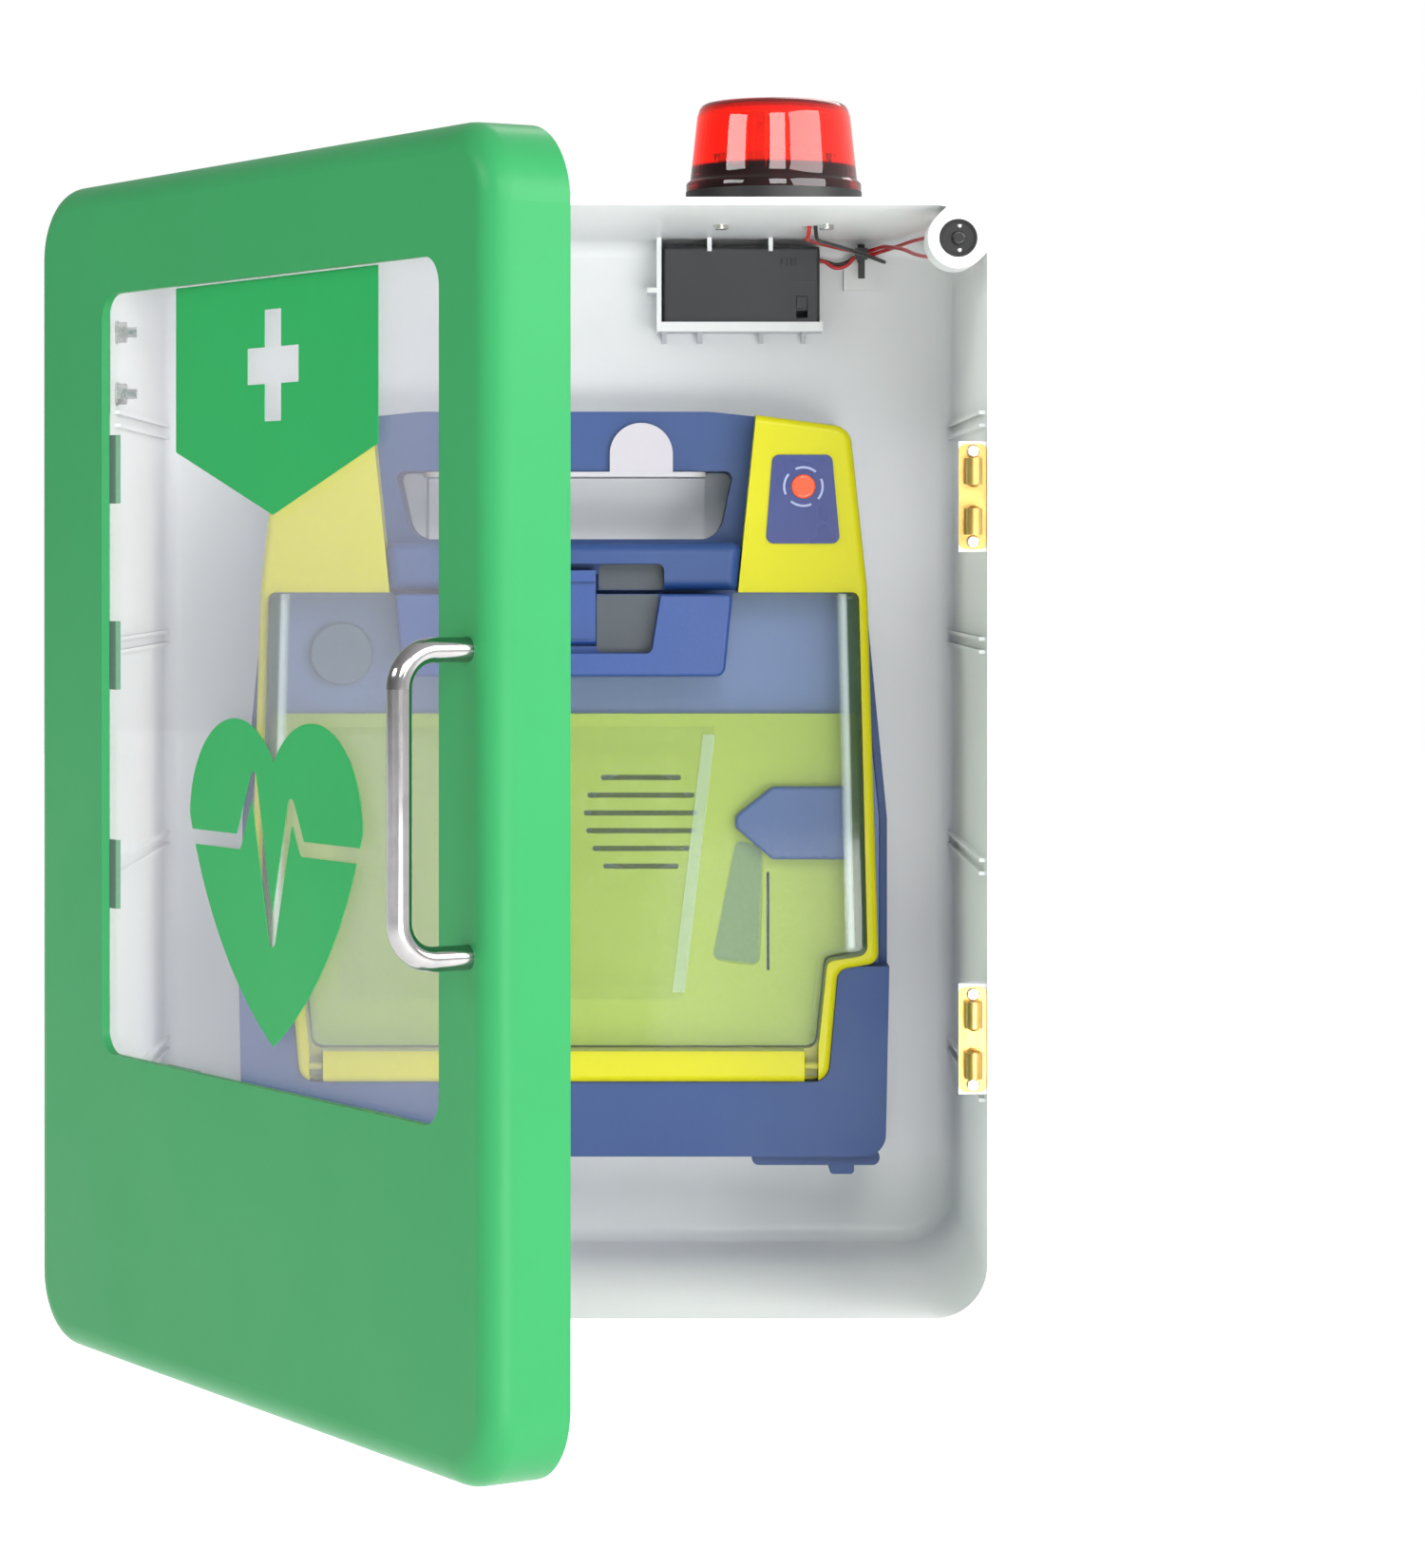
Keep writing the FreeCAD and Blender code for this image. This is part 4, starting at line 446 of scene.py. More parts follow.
def bracket_light_and_shade():
    """White paint on the folded bracket with painted light and shade: the wall plate is painted whiter as if
    lit, the tabs in front greyer as shade.
    """
    low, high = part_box("hook_bracket")
    finish = Finish("bracket_white")
    tree = finish.tree
    depth = axis_node(tree, finish.where, "Y")
    # Painted light on the wall plate, which lies in the grip's shadow, and painted shade on the tabs in
    # front.
    tab_shade_share = map_node(tree, depth, low.y + 2.2 * MM, high.y - 4.0 * MM, 1.0, 0.0)
    plate_painted_light, tab_painted_shade = rgba((0.93, 0.93, 0.93)), rgba((0.44, 0.42, 0.46))
    finish.feed(mix_node(tree, tab_shade_share, plate_painted_light, tab_painted_shade), "Base Color")
    finish.texture(GRAIN, Scale=700.0, Depth=0.1, Roughness=0.45, Drift=0.04)
    return finish.material


def clear_lid():
    """Clear lid: a dark strip of painted shade along its formed side walls, and a pale strip of painted
    highlight along their bend.
    """
    unit_x = middle("aed_lid_cover").x
    foot, head = -84.0 * MM, 63.0 * MM
    half_width_foot, half_width_head = 123.5 * MM, 120.0 * MM
    finish = Finish("lid_clear")
    tree = finish.tree
    side, height = axis_node(tree, finish.where, "X"), axis_node(tree, finish.where, "Z")
    across = math_node(tree, "ABSOLUTE", math_node(tree, "SUBTRACT", side, unit_x))
    edge = map_node(tree, height, foot, head, half_width_foot, half_width_head)
    inwards = math_node(tree, "SUBTRACT", edge, across)
    # Painted shade along the side walls and a painted highlight along their bend, each also drawn more
    # opaque.
    wall = map_node(tree, inwards, 4.4 * MM, 5.4 * MM, 1.0, 0.0)
    bend_highlight = math_node(tree, "MULTIPLY", map_node(tree, inwards, 4.6 * MM, 5.6 * MM, 0.0, 1.0),
                     map_node(tree, inwards, 6.6 * MM, 9.0 * MM, 1.0, 0.0))
    low_end = map_node(tree, height, foot, foot + 4.0 * MM, 0.0, 1.0)
    wall = math_node(tree, "MULTIPLY", wall, low_end)
    bend_highlight = math_node(tree, "MULTIPLY", bend_highlight, low_end)
    wall_shaded = mix_node(tree, wall, rgba((0.45, 0.56, 0.50)), rgba((0.045, 0.090, 0.035)))
    finish.feed(mix_node(tree, bend_highlight, wall_shaded, rgba((0.62, 0.72, 0.70))), "Base Color")
    finish.scratches(0.04, 0.12)
    painted_strips = math_node(tree, "ADD", math_node(tree, "MULTIPLY", wall, 0.5),
                       math_node(tree, "MULTIPLY", bend_highlight, 0.40))
    finish.feed(math_node(tree, "ADD", finish.veil(0.05, 0.5), painted_strips, True), "Alpha")
    return finish.material


MATERIALS = {
    "cabinet_white": cabinet_plastic(),
    "bracket_white": bracket_light_and_shade(),
    "steel": metal("steel", (0.62, 0.61, 0.6), (0.5, 0.48, 0.45), 0.28, (500, 500, 500)),
    "stainless": metal("stainless", (0.42, 0.41, 0.41), (0.36, 0.35, 0.35), 0.12, (700, 700, 60), 0.05),
    "brass": metal("brass", (0.60, 0.40, 0.13), (0.50, 0.31, 0.09), 0.33, (300, 300, 40), 0.12, 0.25),
    "spring_steel": metal("spring_steel", (0.55, 0.55, 0.56), (0.45, 0.45, 0.46), 0.25, (400, 400, 400)),
    "hinge_black": moulded("hinge_black", (0.018, 0.018, 0.019), 0.35, 1500.0, 0.2, 0.8, 0.06),
    "switch_black": moulded("switch_black", (0.010, 0.010, 0.011), 0.22, 1500.0, 0.05, 0.8, 0.03),
    "strobe_black": moulded("strobe_black", (0.016, 0.016, 0.017), 0.42, 1200.0, 0.2, 0.8, 0.08),
    "gasket_rubber": moulded("gasket_rubber", (0.022, 0.022, 0.023), 0.7, 800.0, 0.3, 0.8, 0.08),
    "lens_red": beacon_red(),
    "lamp": moulded("lamp", (0.75, 0.74, 0.70), 0.25, 900.0, 0.05, 0.95, 0.0),
    "reflector": metal("reflector", (0.88, 0.88, 0.88), (0.8, 0.8, 0.8), 0.15, (200, 200, 200)),
    "box_black": moulded("box_black", (0.030, 0.032, 0.036), 0.33, 1000.0, 0.15, 0.85, 0.05),
    "cell": moulded("cell", (0.06, 0.09, 0.16), 0.25, 700.0, 0.03, 0.8, 0.0),
    "lead_red": moulded("lead_red", (0.60, 0.025, 0.025), 0.3, 500.0, 0.05, 0.85, 0.02),
    "lead_black": moulded("lead_black", (0.018, 0.018, 0.018), 0.32, 500.0, 0.05, 0.85, 0.02),
    "tie_black": moulded("tie_black", (0.02, 0.02, 0.022), 0.4, 800.0, 0.1, 0.85, 0.02),
    "door_green": moulded("door_green", (0.029, 0.248, 0.080), 0.34, 1200.0, 0.10, 0.96, 0.02,
                          Specular_IOR_Level=0.14),
    "pane_clear": sheet_clear("pane_clear", (0.42, 0.42, 0.47), 0.03, 0.08, 0.50),
    "decal_green": moulded("decal_green", (0.008, 0.290, 0.070), 0.40, 400.0, 0.03, 0.97, 0.0,
                           Specular_IOR_Level=0.25),
    "aed_blue": moulded("aed_blue", (0.010, 0.047, 0.182), 0.5, 650.0, 0.2, 0.88, 0.05),
    "aed_blue_light": moulded("aed_blue_light", (0.014, 0.056, 0.235), 0.42, 700.0, 0.3, 0.92, 0.03),
    "aed_yellow": moulded("aed_yellow", (0.53, 0.50, 0.002), 0.34, 900.0, 0.15, 0.96, 0.02,
                          Specular_IOR_Level=0.25),
    "label_blue": moulded("label_blue", (0.022, 0.038, 0.17), 0.28, 500.0, 0.03, 0.95, 0.0),
    "indicator": moulded("indicator", (0.80, 0.10, 0.035), 0.22, 500.0, 0.02, 0.9, 0.0),
    "lid_clear": clear_lid(),
    "panel_blue": moulded("panel_blue", (0.110, 0.170, 0.390), 0.5, 600.0, 0.35, 0.9, 0.02),
    "panel_green": moulded("panel_green", (0.31, 0.42, 0.020), 0.45, 600.0, 0.2, 0.93, 0.0),
    "button_blue": moulded("button_blue", (0.09, 0.13, 0.21), 0.35, 700.0, 0.1, 0.9, 0.02),
    "speaker_dark": moulded("speaker_dark", (0.045, 0.070, 0.022), 0.6, 500.0, 0.3, 0.8, 0.0),
    "board_green": moulded("board_green", (0.015, 0.12, 0.045), 0.3, 500.0, 0.1, 0.85, 0.0),
    "capacitor": moulded("capacitor", (0.35, 0.36, 0.4), 0.3, 400.0, 0.05, 0.9, 0.0, Metallic=0.4),
    "pouch_film": sheet_clear("pouch_film", (0.42, 0.56, 0.10), 0.12, 0.06, 0.4),
}

# Finishes of small added pieces, beside those that the record's slots name.
EMITTER = moulded("emitter_yellow", (0.85, 0.62, 0.08), 0.2, 600.0, 0.02, 0.9, 0.0)
# Doubled film of the pouch's seal, paler partly as a painted reflection.
SEAL_FILM_AND_REFLECTION = sheet_clear("pouch_seal_film_and_reflection", (0.60, 0.76, 0.52), 0.3, 0.26, 0.6)
# Dark sheet of painted shade for the finger recess floors.
RECESS_PAINTED_SHADE = moulded("recess_painted_shade", (0.050, 0.064, 0.080), 0.4, 700.0, 0.2, 0.85, 0.0)
# Darker green sheet of painted shade for the lead pocket's floor.
POCKET_PAINTED_SHADE = moulded("pocket_painted_shade", (0.13, 0.23, 0.075), 0.5, 600.0, 0.2, 0.9, 0.0)
PALE_INK = moulded("pale_ink", (0.30, 0.33, 0.52), 0.35, 500.0, 0.02, 0.95, 0.0)


def dress_frame():
    """Each carried-over node gets the finish of its own slot."""
    for row in frame["record"]["subparts"]:
        piece = NODES[row["node"]]
        piece.data.materials.clear()
        piece.data.materials.append(MATERIALS[row["material_slot"]])
    # The lid's pins sit in the yellow bar, and are shown in its yellow though their slot is steel.
    NODES["aed_lid_pins"].data.materials[0] = MATERIALS["aed_yellow"]


# ---- geometry-node tools ---------------------------------------------------------------
def node_tree(name, inputs):
    """Empty geometry tree with named inputs and one geometry output."""
    tree = bpy.data.node_groups.new(name, "GeometryNodeTree")
    for label, kind, value in inputs:
        socket = tree.interface.new_socket(name=label, in_out="INPUT", socket_type=kind)
        if value is not None:
            socket.default_value = value
    tree.interface.new_socket(name="Geometry", in_out="OUTPUT", socket_type="NodeSocketGeometry")
    return tree, tree.nodes.new("NodeGroupInput"), tree.nodes.new("NodeGroupOutput")


def end_tree(tree, start, end, geometry):
    """Realize Instances and Set Material close every tree."""
    real = tree.nodes.new("GeometryNodeRealizeInstances")
    paint = tree.nodes.new("GeometryNodeSetMaterial")
    join(tree, geometry, real.inputs[0])
    join(tree, real.outputs[0], paint.inputs["Geometry"])
    join(tree, start.outputs["Material"], paint.inputs["Material"])
    join(tree, paint.outputs[0], end.inputs[0])


def copies_on(tree, start, points):
    """A node that puts a copy of the tree's object on each point."""
    copies = tree.nodes.new("GeometryNodeInstanceOnPoints")
    source = tree.nodes.new("GeometryNodeObjectInfo")
    join(tree, start.outputs["Copy"], source.inputs["Object"])
    join(tree, points, copies.inputs["Points"])
    join(tree, source.outputs["Geometry"], copies.inputs["Instance"])
    return copies


def row_tree():
    """Copies of one small mesh along a straight row."""
    tree, start, end = node_tree("row_of_copies", [
        ("Copy", "NodeSocketObject", None), ("Count", "NodeSocketInt", 5),
        ("From", "NodeSocketVector", (0, 0, 0)), ("Step", "NodeSocketVector", (0, 0, 0.01)),
        ("Material", "NodeSocketMaterial", None)])
    line = tree.nodes.new("GeometryNodeMeshLine")
    line.mode = "OFFSET"
    join(tree, start.outputs["Count"], line.inputs["Count"])
    join(tree, start.outputs["From"], line.inputs["Start Location"])
    join(tree, start.outputs["Step"], line.inputs["Offset"])
    end_tree(tree, start, end, copies_on(tree, start, line.outputs[0]).outputs[0])
    return tree


def ring_tree():
    """Copies of one small mesh round a circle, each turned to face outwards."""
    tree, start, end = node_tree("ring_of_copies", [
        ("Copy", "NodeSocketObject", None), ("Count", "NodeSocketInt", 12),
        ("Radius", "NodeSocketFloat", 0.01), ("Centre", "NodeSocketVector", (0, 0, 0)),
        ("Material", "NodeSocketMaterial", None)])
    circle = tree.nodes.new("GeometryNodeMeshCircle")
    join(tree, start.outputs["Count"], circle.inputs["Vertices"])
    join(tree, start.outputs["Radius"], circle.inputs["Radius"])
    outward = tree.nodes.new("FunctionNodeAlignRotationToVector")
    outward.axis = "X"
    place = tree.nodes.new("GeometryNodeInputPosition")
    join(tree, place.outputs[0], outward.inputs["Vector"])
    copies = copies_on(tree, start, circle.outputs[0])
    join(tree, outward.outputs[0], copies.inputs["Rotation"])
    move = tree.nodes.new("GeometryNodeTransform")
    join(tree, copies.outputs[0], move.inputs["Geometry"])
    join(tree, start.outputs["Centre"], move.inputs["Translation"])
    end_tree(tree, start, end, move.outputs[0])
    return tree


ROW, RING = row_tree(), ring_tree()


def grown(name, tree, copy, material, **values):
    """Run a tree on an empty mesh and keep the result as a plain mesh piece of real copies."""
    carrier = bpy.data.objects.new(name + "_carrier", bpy.data.meshes.new(name + "_carrier"))
    bpy.context.scene.collection.objects.link(carrier)
    modifier = carrier.modifiers.new("grow", "NODES")
    modifier.node_group = tree
    values.update(Copy=copy, Material=material)
    for item in tree.interface.items_tree:
        if item.in_out == "INPUT" and item.name in values:
            modifier[item.identifier] = values[item.name]
    bpy.context.view_layer.update()
    graph = bpy.context.evaluated_depsgraph_get()
    mesh = bpy.data.meshes.new_from_object(carrier.evaluated_get(graph), preserve_all_data_layers=True,
                                           depsgraph=graph)
    bpy.data.objects.remove(carrier)
    mesh.name = name
    piece = bpy.data.objects.new(name, mesh)
    bpy.context.scene.collection.objects.link(piece)
    return piece


def pill(length, width, height):
    """Bar with rounded ends and edges, along Z, standing on the XZ plane towards -Y."""
    bm = bmesh.new()
    bmesh.ops.create_cube(bm, size=1.0)
    bmesh.ops.scale(bm, verts=bm.verts, vec=(width, height, length))
    bmesh.ops.translate(bm, verts=bm.verts, vec=(0, -height / 2 + 0.00005, 0))
    bmesh.ops.bevel(bm, geom=list(bm.edges), offset=min(width, height) * 0.42, segments=3,
                    profile=0.5, affect="EDGES")
    return bm


# ---- beacon ----------------------------------------------------------------------------
def beacon_lens():
    """Red lens: smooth outside, prisms inside its wall, a stepped skirt and a flat crown."""
    low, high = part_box("strobe_lens")
    centre = Vector(((low.x + high.x) / 2, (low.y + high.y) / 2, 0))
    r, z0, z1 = (high.x - low.x) / 2, low.z, high.z
    top_r = r - 4.8 * MM
    wall, flutes = 2.0 * MM, 60
    outer = [(r, z0, 0), (r, z0 + 3.0 * MM, 0), (r - 0.3 * MM, z0 + 3.6 * MM, 0),
             (r - 1.3 * MM, z0 + 4.3 * MM, 0), (r - 1.7 * MM, z0 + 5.2 * MM, 0)]
    wall_h = z1 - z0 - 7.0 * MM
    for k in range(1, 8):
        t = k / 8
        outer.append((r - 1.7 * MM - (r - 1.7 * MM - top_r) * t, z0 + 5.2 * MM + wall_h * t * 0.99, 0))
    crown = [(top_r, z1 - 4.6 * MM, 0), (top_r - 0.5 * MM, z1 - 2.8 * MM, 0),
             (top_r - 1.5 * MM, z1 - 1.3 * MM, 0), (top_r - 3.0 * MM, z1 - 0.5 * MM, 0),
             (top_r - 5.0 * MM, z1 - 0.15 * MM, 0), (top_r * 0.5, z1, 0), (0, z1, 0)]
    under = z1 - wall
    inner = [(0, under, 0), (top_r * 0.5, under, 0), (top_r - 5.4 * MM, under - 0.2 * MM, 0),
             (top_r - 3.4 * MM, under - 1.0 * MM, 0), (top_r - 2.2 * MM, z1 - 5.0 * MM, 0),
             (top_r - 2.1 * MM, z1 - 6.0 * MM, 1)]
    for k in range(7, 0, -1):
        t = k / 8
        inner.append((r - 3.9 * MM - (r - 1.7 * MM - top_r) * t, z0 + 5.2 * MM + wall_h * t * 0.97, 1))
    inner += [(r - 3.8 * MM, z0 + 5.4 * MM, 0), (r - 3.8 * MM, z0, 0), (r, z0, 0)]

    def prism(angle):
        return 0.12 * MM * abs(math.sin(flutes * angle / 2))

    lens = turned("strobe_lens_fluted", outer + crown + inner, centre, 240, prism)
    finish_piece(lens, "cabinet", MATERIALS["lens_red"], ["strobe_lens"])


def beacon_lights():
    """Two rings of small emitters round the lamp's post."""
    low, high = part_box("strobe_lamp")
    centre = (low + high) / 2
    post_r = 7.5 * MM
    chip = pill(2.6 * MM, 0.9 * MM, 2.4 * MM)
    bmesh.ops.rotate(chip, verts=chip.verts, matrix=Matrix.Rotation(math.pi / 2, 3, "Z"))
    chip = mesh_object("emitter", chip)
    for k, share in enumerate((0.42, 0.62)):
        ring = grown("strobe_emitters_%d" % (k + 1), RING, chip, MATERIALS["lamp"], Count=8,
                     Radius=post_r, Centre=(centre.x, centre.y, low.z + share * (high.z - low.z)))
        finish_piece(ring, "cabinet", EMITTER)
    bpy.data.objects.remove(chip)


# ---- battery box -----------------------------------------------------------------------
def battery_box_ridges():
    """Thumb ridges on the battery box's cover, and a shallow frame round its slide switch."""
    low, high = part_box("battery_box_cover")
    ridge = mesh_object("ridge", pill(3.4 * MM, 0.8 * MM, 0.5 * MM))
    row = grown("battery_box_ridges", ROW, ridge, MATERIALS["box_black"], Count=4,
                From=(high.x - 16.0 * MM, low.y, high.z - 6.5 * MM), Step=(2.0 * MM, 0, 0))
    finish_piece(row, "cabinet", MATERIALS["box_black"])
    bpy.data.objects.remove(ridge)
    knob = middle("battery_box_slider")
    half_w, half_h, line = 5.6 * MM, 8.6 * MM, 0.7 * MM
    bm = bmesh.new()
    for x0, x1, z0, z1 in ((-half_w, half_w, half_h - line, half_h),
                           (-half_w, half_w, -half_h, -half_h + line),
                           (-half_w, -half_w + line, -half_h + line, half_h - line),
                           (half_w - line, half_w, -half_h + line, half_h - line)):
        made = bmesh.ops.create_cube(bm, size=1.0)["verts"]
        bmesh.ops.scale(bm, verts=made, vec=(x1 - x0, 0.4 * MM, z1 - z0))
        bmesh.ops.translate(bm, verts=made, vec=(knob.x + (x0 + x1) / 2, low.y - 0.1 * MM,
                                                 low.z + 10.5 * MM + (z0 + z1) / 2))
    finish_piece(mesh_object("battery_box_slot_frame", bm), "cabinet", MATERIALS["box_black"])


# ---- door switch -----------------------------------------------------------------------
def switch_glints():
    """Two crimped rivets and a thin rim on the switch's face."""
    low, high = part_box("switch_body")
    centre = Vector(((low.x + high.x) / 2, low.y, (low.z + high.z) / 2))
    r = (high.x - low.x) / 2
    bm = bmesh.new()
    for dz in (-4.6 * MM, 4.6 * MM):
        made = bmesh.ops.create_uvsphere(bm, u_segments=16, v_segments=10, radius=0.9 * MM)["verts"]
        bmesh.ops.scale(bm, verts=made, vec=(1, 0.45, 1))
        bmesh.ops.translate(bm, verts=made, vec=centre + Vector((0.4 * MM, 0, dz)))
    finish_piece(mesh_object("switch_rivets", bm), "cabinet", MATERIALS["steel"])
    section = [(r, 0, 0), (r, 0.5 * MM, 0), (r - 0.3 * MM, 0.8 * MM, 0), (r - 0.9 * MM, 0.8 * MM, 0),
               (r - 1.1 * MM, 0.5 * MM, 0), (r - 1.1 * MM, 0, 0), (r, 0, 0)]
    rim = turned("switch_rim", section, Vector((0, 0, 0)), 64)
    rim.data.transform(Matrix.Translation(centre) @ Matrix.Rotation(math.pi / 2, 4, "X"))
    finish_piece(rim, "cabinet", MATERIALS["switch_black"])


# ---- defibrillator ---------------------------------------------------------------------
# Left and right edges of the pouch, from the unit's middle, at its top and at its bottom.
POUCH_TOP = (-98.0 * MM, 62.0 * MM)
POUCH_BOTTOM = (-92.0 * MM, 49.5 * MM)


def pads_pouch():
    """Clear film pouch: crowned over the pads inside, flat and crimped round its seal."""
    low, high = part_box("pads_pouch")
    back, front = high.y, low.y
    z_top, z_bottom = high.z, low.z
    unit_x = middle("aed_base_shell").x
    top = [unit_x + x for x in POUCH_TOP]
    bottom = [unit_x + x for x in POUCH_BOTTOM]
    seal, slope, crown_height = 6.0 * MM, 14.0 * MM, 6.2 * MM
    columns, rows = 76, 58
    bm = bmesh.new()
    layers = []
    for side in (0, 1):
        grid = []
        for j in range(rows + 1):
            v = j / rows
            z = z_top + (z_bottom - z_top) * v
            left = top[0] + (bottom[0] - top[0]) * v
            right = top[1] + (bottom[1] - top[1]) * v
            line = []
            for i in range(columns + 1):
                u = i / columns
                x = left + (right - left) * u
                edge = min(u * (right - left), (1 - u) * (right - left), v * (z_top - z_bottom),
                           (1 - v) * (z_top - z_bottom))
                lift = min(1.0, max(0.0, (edge - seal) / slope))
                crown = math.sin(lift * math.pi / 2) ** 0.8 if lift > 0 else 0.0
                wrinkle = noise.noise(Vector((x * 60, z * 90, 3.0))) * 0.35 + noise.noise(
                    Vector((x * 160, z * 40, 9.0))) * 0.2
                crimp = 0.12 * MM * math.sin(2 * math.pi * (x + z) / (1.6 * MM)) if edge < seal * 0.8 else 0.0
                depth = 0.35 * MM + crown * (crown_height + wrinkle * 1.6 * MM)
                y = back - (depth if side else 0.1 * MM) - (crimp if side else 0.0)
                line.append(bm.verts.new((x, max(y, front + 0.05 * MM), z)))
            grid.append(line)
        layers.append(grid)
    for side, grid in enumerate(layers):
        for j in range(rows):
            for i in range(columns):
                quad = [grid[j][i], grid[j][i + 1], grid[j + 1][i + 1], grid[j + 1][i]]
                bm.faces.new(quad)
    rim = [(0, i) for i in range(columns)] + [(j, columns) for j in range(rows)] + [
        (rows, i) for i in range(columns, 0, -1)] + [(j, 0) for j in range(rows, 0, -1)]
    for k, (j, i) in enumerate(rim):
        j2, i2 = rim[(k + 1) % len(rim)]
        bm.faces.new([layers[0][j][i], layers[0][j2][i2], layers[1][j2][i2], layers[1][j][i]])
    pouch = mesh_object("pads_pouch_film", bm, angle=60.0)
    finish_piece(pouch, "defibrillator", MATERIALS["pouch_film"], ["pads_pouch"])


def pouch_seal():
    """Heat seal along the pouch's open side: a strip of doubled film with a fine ripple, its paler tone
    partly a painted reflection along the pouch's edge.
    """
    low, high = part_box("pads_pouch")
    unit_x = middle("aed_base_shell").x
    width, steps = 5.0 * MM, 90
    bm = bmesh.new()
    layers = []
    for depth in (0.55 * MM, 0.95 * MM):
        line = []
        for k in range(steps + 1):
            t = k / steps
            edge = unit_x + POUCH_TOP[1] + (POUCH_BOTTOM[1] - POUCH_TOP[1]) * t
            ripple = 0.12 * MM * math.sin(k * 1.9)
            z = high.z - 3.0 * MM + (low.z - high.z + 6.0 * MM) * t
            line.append([bm.verts.new((x, high.y - depth - ripple, z)) for x in (edge - width, edge)])
        layers.append(line)
    back, front = layers
    for k in range(steps):
        bm.faces.new([front[k][0], front[k][1], front[k + 1][1], front[k + 1][0]])
        bm.faces.new([back[k][0], back[k + 1][0], back[k + 1][1], back[k][1]])
        for side in (0, 1):
            bm.faces.new([front[k][side], front[k + 1][side], back[k + 1][side], back[k][side]])
    for k in (0, steps):
        bm.faces.new([front[k][0], front[k][1], back[k][1], back[k][0]])
    finish_piece(mesh_object("pads_pouch_seal", bm), "defibrillator", SEAL_FILM_AND_REFLECTION)


def recess_shade_liners():
    """Dark sheets of painted shade on the floors of the finger recess, either side of its lever, and a darker
    green one in the lead pocket.
    """
    unit = middle("aed_base_shell").x
    thick = 0.2 * MM
    lower = [(13.5, 39.0), (35.4, 39.0), (38.9, 62.6), (13.5, 62.6)]
    upper = [(14.4, 64.7), (40.7, 64.7), (40.7, 74.9), (14.4, 74.9)]
    pocket = [(70.6, -38.7), (81.3, -40.6), (79.9, -89.8), (60.8, -87.4)]

    def lay(name, points, side, radius, floor, body, material):
        outline = rounded([(unit + side * x * MM, z * MM) for x, z in points], radius)
        finish_piece(plate(name, outline, floor, floor - thick), body, material)

    lid_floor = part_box("aed_lid_latch_panel")[0].y + 9.5 * MM
    cover_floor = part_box("aed_top_cover")[0].y + 10.0 * MM
    # Painted shade: dark sheets on the recess floors beside the lever.
    for side, name in ((-1, "left"), (1, "right")):
        lay("aed_recess_lid_" + name, lower, side, 1.5 * MM, lid_floor, "lid", RECESS_PAINTED_SHADE)
        lay("aed_recess_case_" + name, upper, side, 1.5 * MM, cover_floor, "defibrillator", RECESS_PAINTED_SHADE)
    # Painted shade: a darker green sheet on the lead pocket's floor.
    pocket_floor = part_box("aed_speaker_panel")[0].y + 1.3 * MM
    lay("aed_pocket_floor", pocket, 1, 2.4 * MM, pocket_floor, "defibrillator", POCKET_PAINTED_SHADE)


def status_ring():
    """Thin pale arcs printed round the indicator."""
    low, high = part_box("aed_status_light")
    centre = Vector(((low.x + high.x) / 2, 0, (low.z + high.z) / 2))
    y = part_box("aed_status_plate")[0].y
    bm = bmesh.new()
    inner, outer, steps = 7.4 * MM, 8.3 * MM, 14
    for start in (-40, 50, 140, 230):
        rings = []
        for k in range(steps + 1):
            a = math.radians(start + 64 * k / steps)
            for y_at in (y + 0.05 * MM, y - 0.12 * MM):
                for r in (inner, outer):
                    rings.append(bm.verts.new((centre.x + r * math.cos(a), y_at, centre.z + r * math.sin(a))))
        for k in range(steps):
            a, b = rings[4 * k: 4 * k + 4], rings[4 * k + 4: 4 * k + 8]
            for p, q in ((0, 1), (1, 3), (3, 2), (2, 0)):
                bm.faces.new([a[p], a[q], b[q], b[p]])
        for quad in (rings[:4], rings[-4:]):
            bm.faces.new([quad[0], quad[1], quad[3], quad[2]])
    finish_piece(mesh_object("aed_status_ring", bm, smooth=False), "defibrillator", PALE_INK)


def battery_pack_ribs():
    """Finger ribs on the battery pack's outer end."""
    low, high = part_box("aed_battery_pack")
    rib = pill(1.6 * MM, 1.6 * MM, 0.7 * MM)
    bmesh.ops.rotate(rib, verts=rib.verts, matrix=Matrix.Rotation(-math.pi / 2, 3, "Z"))
    stretch = (high.y - low.y - 10 * MM) / (1.6 * MM)
    bmesh.ops.scale(rib, verts=rib.verts, vec=(1, stretch, 1))
    rib = mesh_object("rib", rib)
    ribs = grown("aed_battery_ribs", ROW, rib, MATERIALS["aed_blue"], Count=9,
                 From=(low.x, (low.y + high.y) / 2, low.z + 14 * MM), Step=(0, 0, 4.0 * MM))
    finish_piece(ribs, "battery_pack", MATERIALS["aed_blue"])
    bpy.data.objects.remove(rib)


# ---- camera, light and ground ----------------------------------------------------------
def camera():
    """Eye level with the cabinet, square to the wall."""
    data = bpy.data.cameras.new("camera")
    data.lens, data.sensor_width = 99.66, 36.0
    data.shift_x, data.shift_y = 0.0455, -0.1442
    data.clip_start, data.clip_end = 0.05, 60.0
    eye = bpy.data.objects.new("camera", data)
    eye.location = (0.0351, -1.847, 0.0776)
    eye.rotation_euler = (math.pi / 2, 0, 0)
    bpy.context.scene.collection.objects.link(eye)
    bpy.context.scene.camera = eye


def softbox(name, place, aim, width, height, power):
    """White rectangular lamp, turned towards a point."""
    data = bpy.data.lights.new(name, "AREA")
    data.shape, data.size, data.size_y = "RECTANGLE", width, height
    data.energy = power
    lamp = bpy.data.objects.new(name, data)
    lamp.location = place
    lamp.rotation_euler = (Vector(aim) - Vector(place)).to_track_quat("-Z", "Y").to_euler()
    bpy.context.scene.collection.objects.link(lamp)


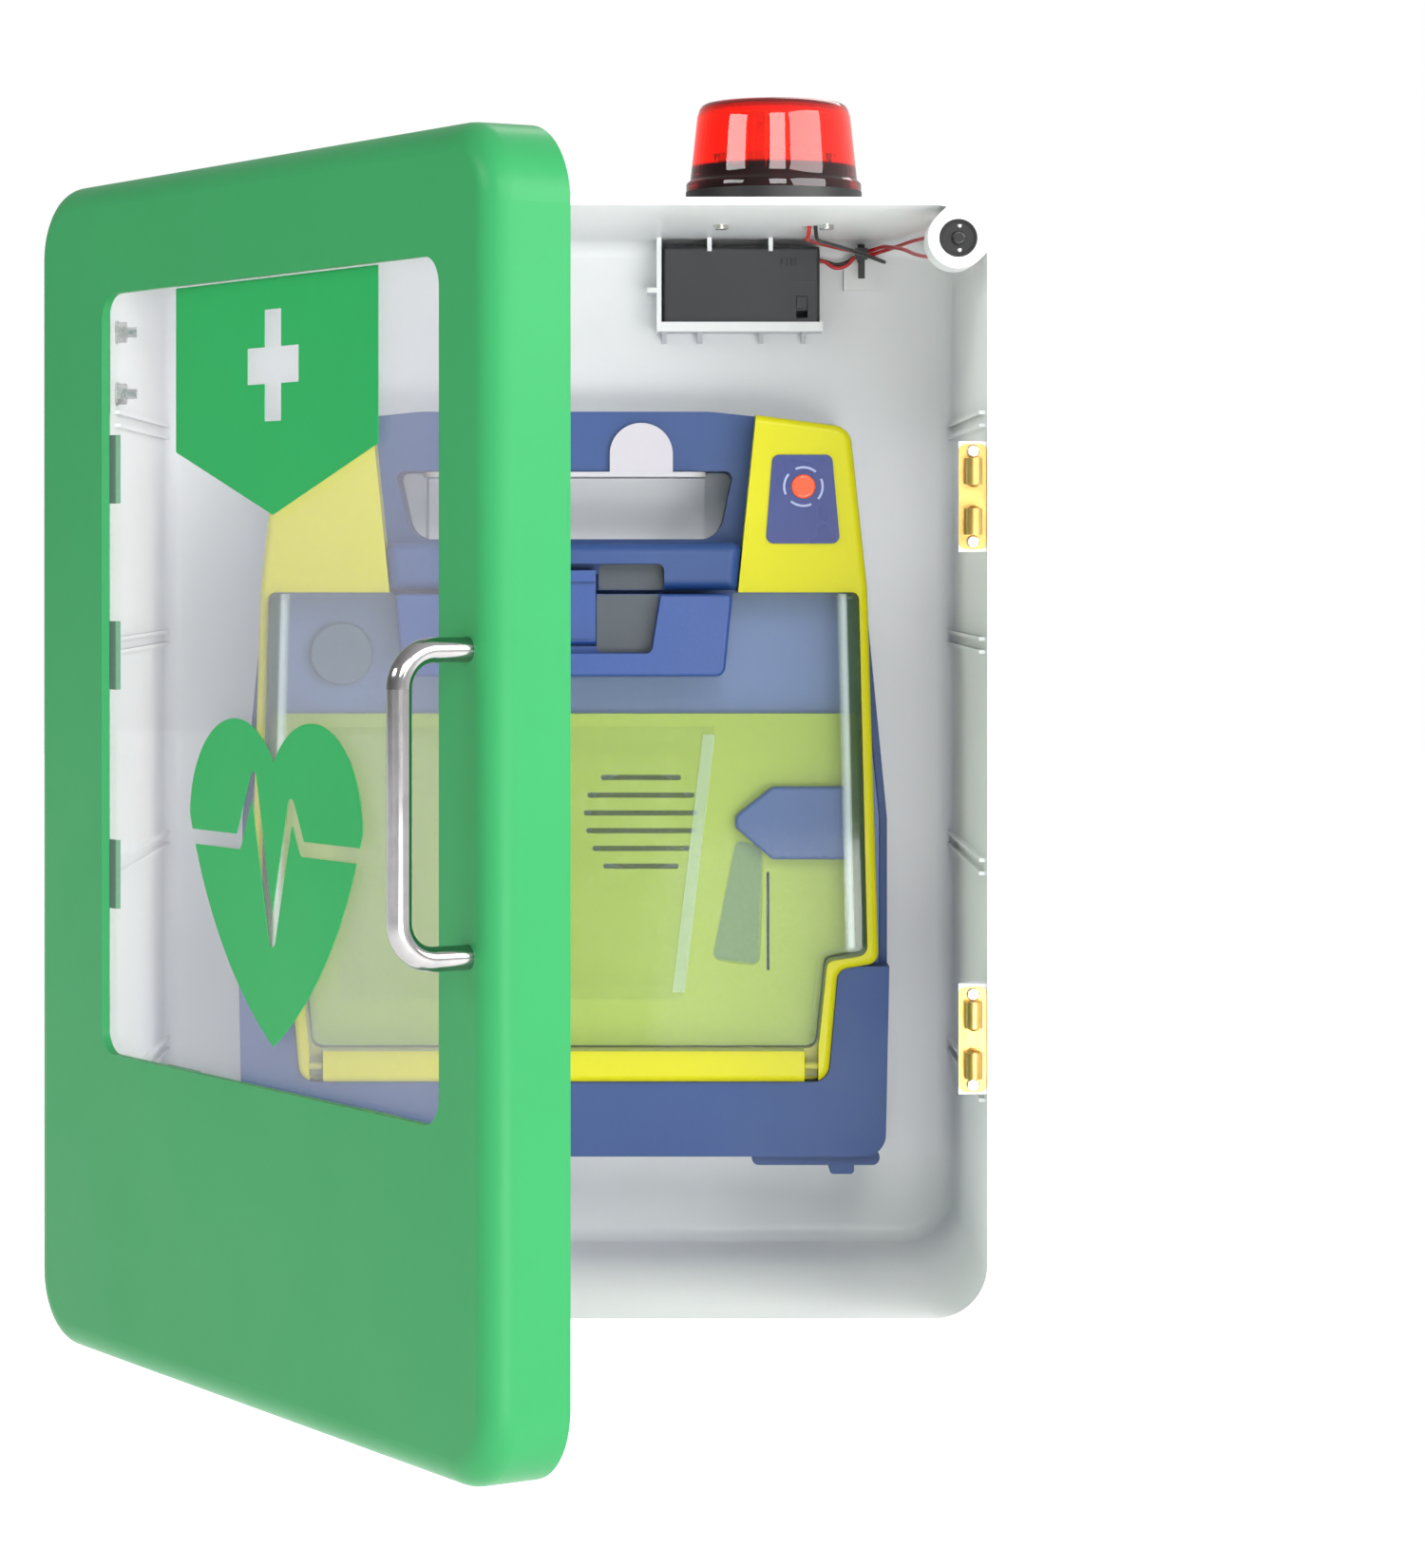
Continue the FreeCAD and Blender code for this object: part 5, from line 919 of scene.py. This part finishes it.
def studio():
    """White surroundings for the eye, a softer graded dome for the light, softboxes and a floor."""
    world = bpy.data.worlds.new("studio")
    bpy.context.scene.world = world
    world.use_nodes = True
    tree = world.node_tree
    tree.nodes.clear()
    output = tree.nodes.new("ShaderNodeOutputWorld")
    seen, dome = tree.nodes.new("ShaderNodeBackground"), tree.nodes.new("ShaderNodeBackground")
    seen.inputs["Color"].default_value, seen.inputs["Strength"].default_value = (1, 1, 1, 1), 1.0
    where = tree.nodes.new("ShaderNodeTexCoord")
    parts = tree.nodes.new("ShaderNodeSeparateXYZ")
    join(tree, where.outputs["Generated"], parts.inputs[0])
    side = map_node(tree, parts.outputs["X"], -1.0, 1.0, 0.20, 0.85)
    height = map_node(tree, parts.outputs["Z"], -1.0, 1.0, 0.9, 1.25)
    dome.inputs["Color"].default_value = (1.0, 1.0, 1.0, 1)
    join(tree, math_node(tree, "MULTIPLY", side, height), dome.inputs["Strength"])
    path = tree.nodes.new("ShaderNodeLightPath")
    mix = tree.nodes.new("ShaderNodeMixShader")
    join(tree, path.outputs["Is Camera Ray"], mix.inputs[0])
    join(tree, dome.outputs[0], mix.inputs[1])
    join(tree, seen.outputs[0], mix.inputs[2])
    join(tree, mix.outputs[0], output.inputs["Surface"])
    target = (0.0, -0.15, 0.0)
    beacon = middle("strobe_lens")
    softbox("key", (1.85, -1.75, 0.95), target, 2.2, 1.2, 60.0)
    softbox("front", (0.7, -2.6, -0.7), target, 1.4, 1.0, 50.0)
    softbox("face", (0.25, -2.6, 1.10), target, 1.0, 0.8, 24.0)
    softbox("strip", (-1.50, -1.10, 0.90), beacon, 1.0, 0.34, 10.0)
    softbox("back", (0.7, 1.3, 1.5), target, 1.0, 1.0, 10.0)
    ground()


def ground():
    """Pale floor well below the cabinet, lit by a little of its own light."""
    half_side, drop = 14.0, 0.42
    bm = bmesh.new()
    bmesh.ops.create_grid(bm, x_segments=1, y_segments=1, size=half_side)
    bmesh.ops.translate(bm, verts=bm.verts, vec=(0, 0, cad_low.z - drop))
    floor = mesh_object("floor", bm, smooth=False)
    finish = Finish("floor_pale", Emission_Strength=0.62)
    finish.shader.inputs["Emission Color"].default_value = (1, 1, 1, 1)
    pale, paler = (0.885, 0.885, 0.885, 1), (0.90, 0.90, 0.90, 1)
    tint = finish.group(TINT, Shade=paler, Deep_Shade=pale, Scale=0.6, Dust=0.0)
    finish.feed(tint.outputs["Color"], "Base Color")
    grain = finish.group(GRAIN, Scale=40.0, Depth=0.02, Roughness=0.85, Drift=0.02)
    finish.feed(grain.outputs["Roughness"], "Roughness")
    floor.data.materials.append(finish.material)


camera()
studio()
dress_frame()
beacon_lens()
beacon_lights()
battery_box_ridges()
switch_glints()
pads_pouch()
pouch_seal()
recess_shade_liners()
status_ring()
battery_pack_ribs()
bpy.context.scene.view_settings.view_transform = "Standard"
# Pane, lid and pouch lie one behind another, so a ray meets many clear surfaces.
bpy.context.scene.cycles.transparent_max_bounces = 24
bpy.context.view_layer.update()
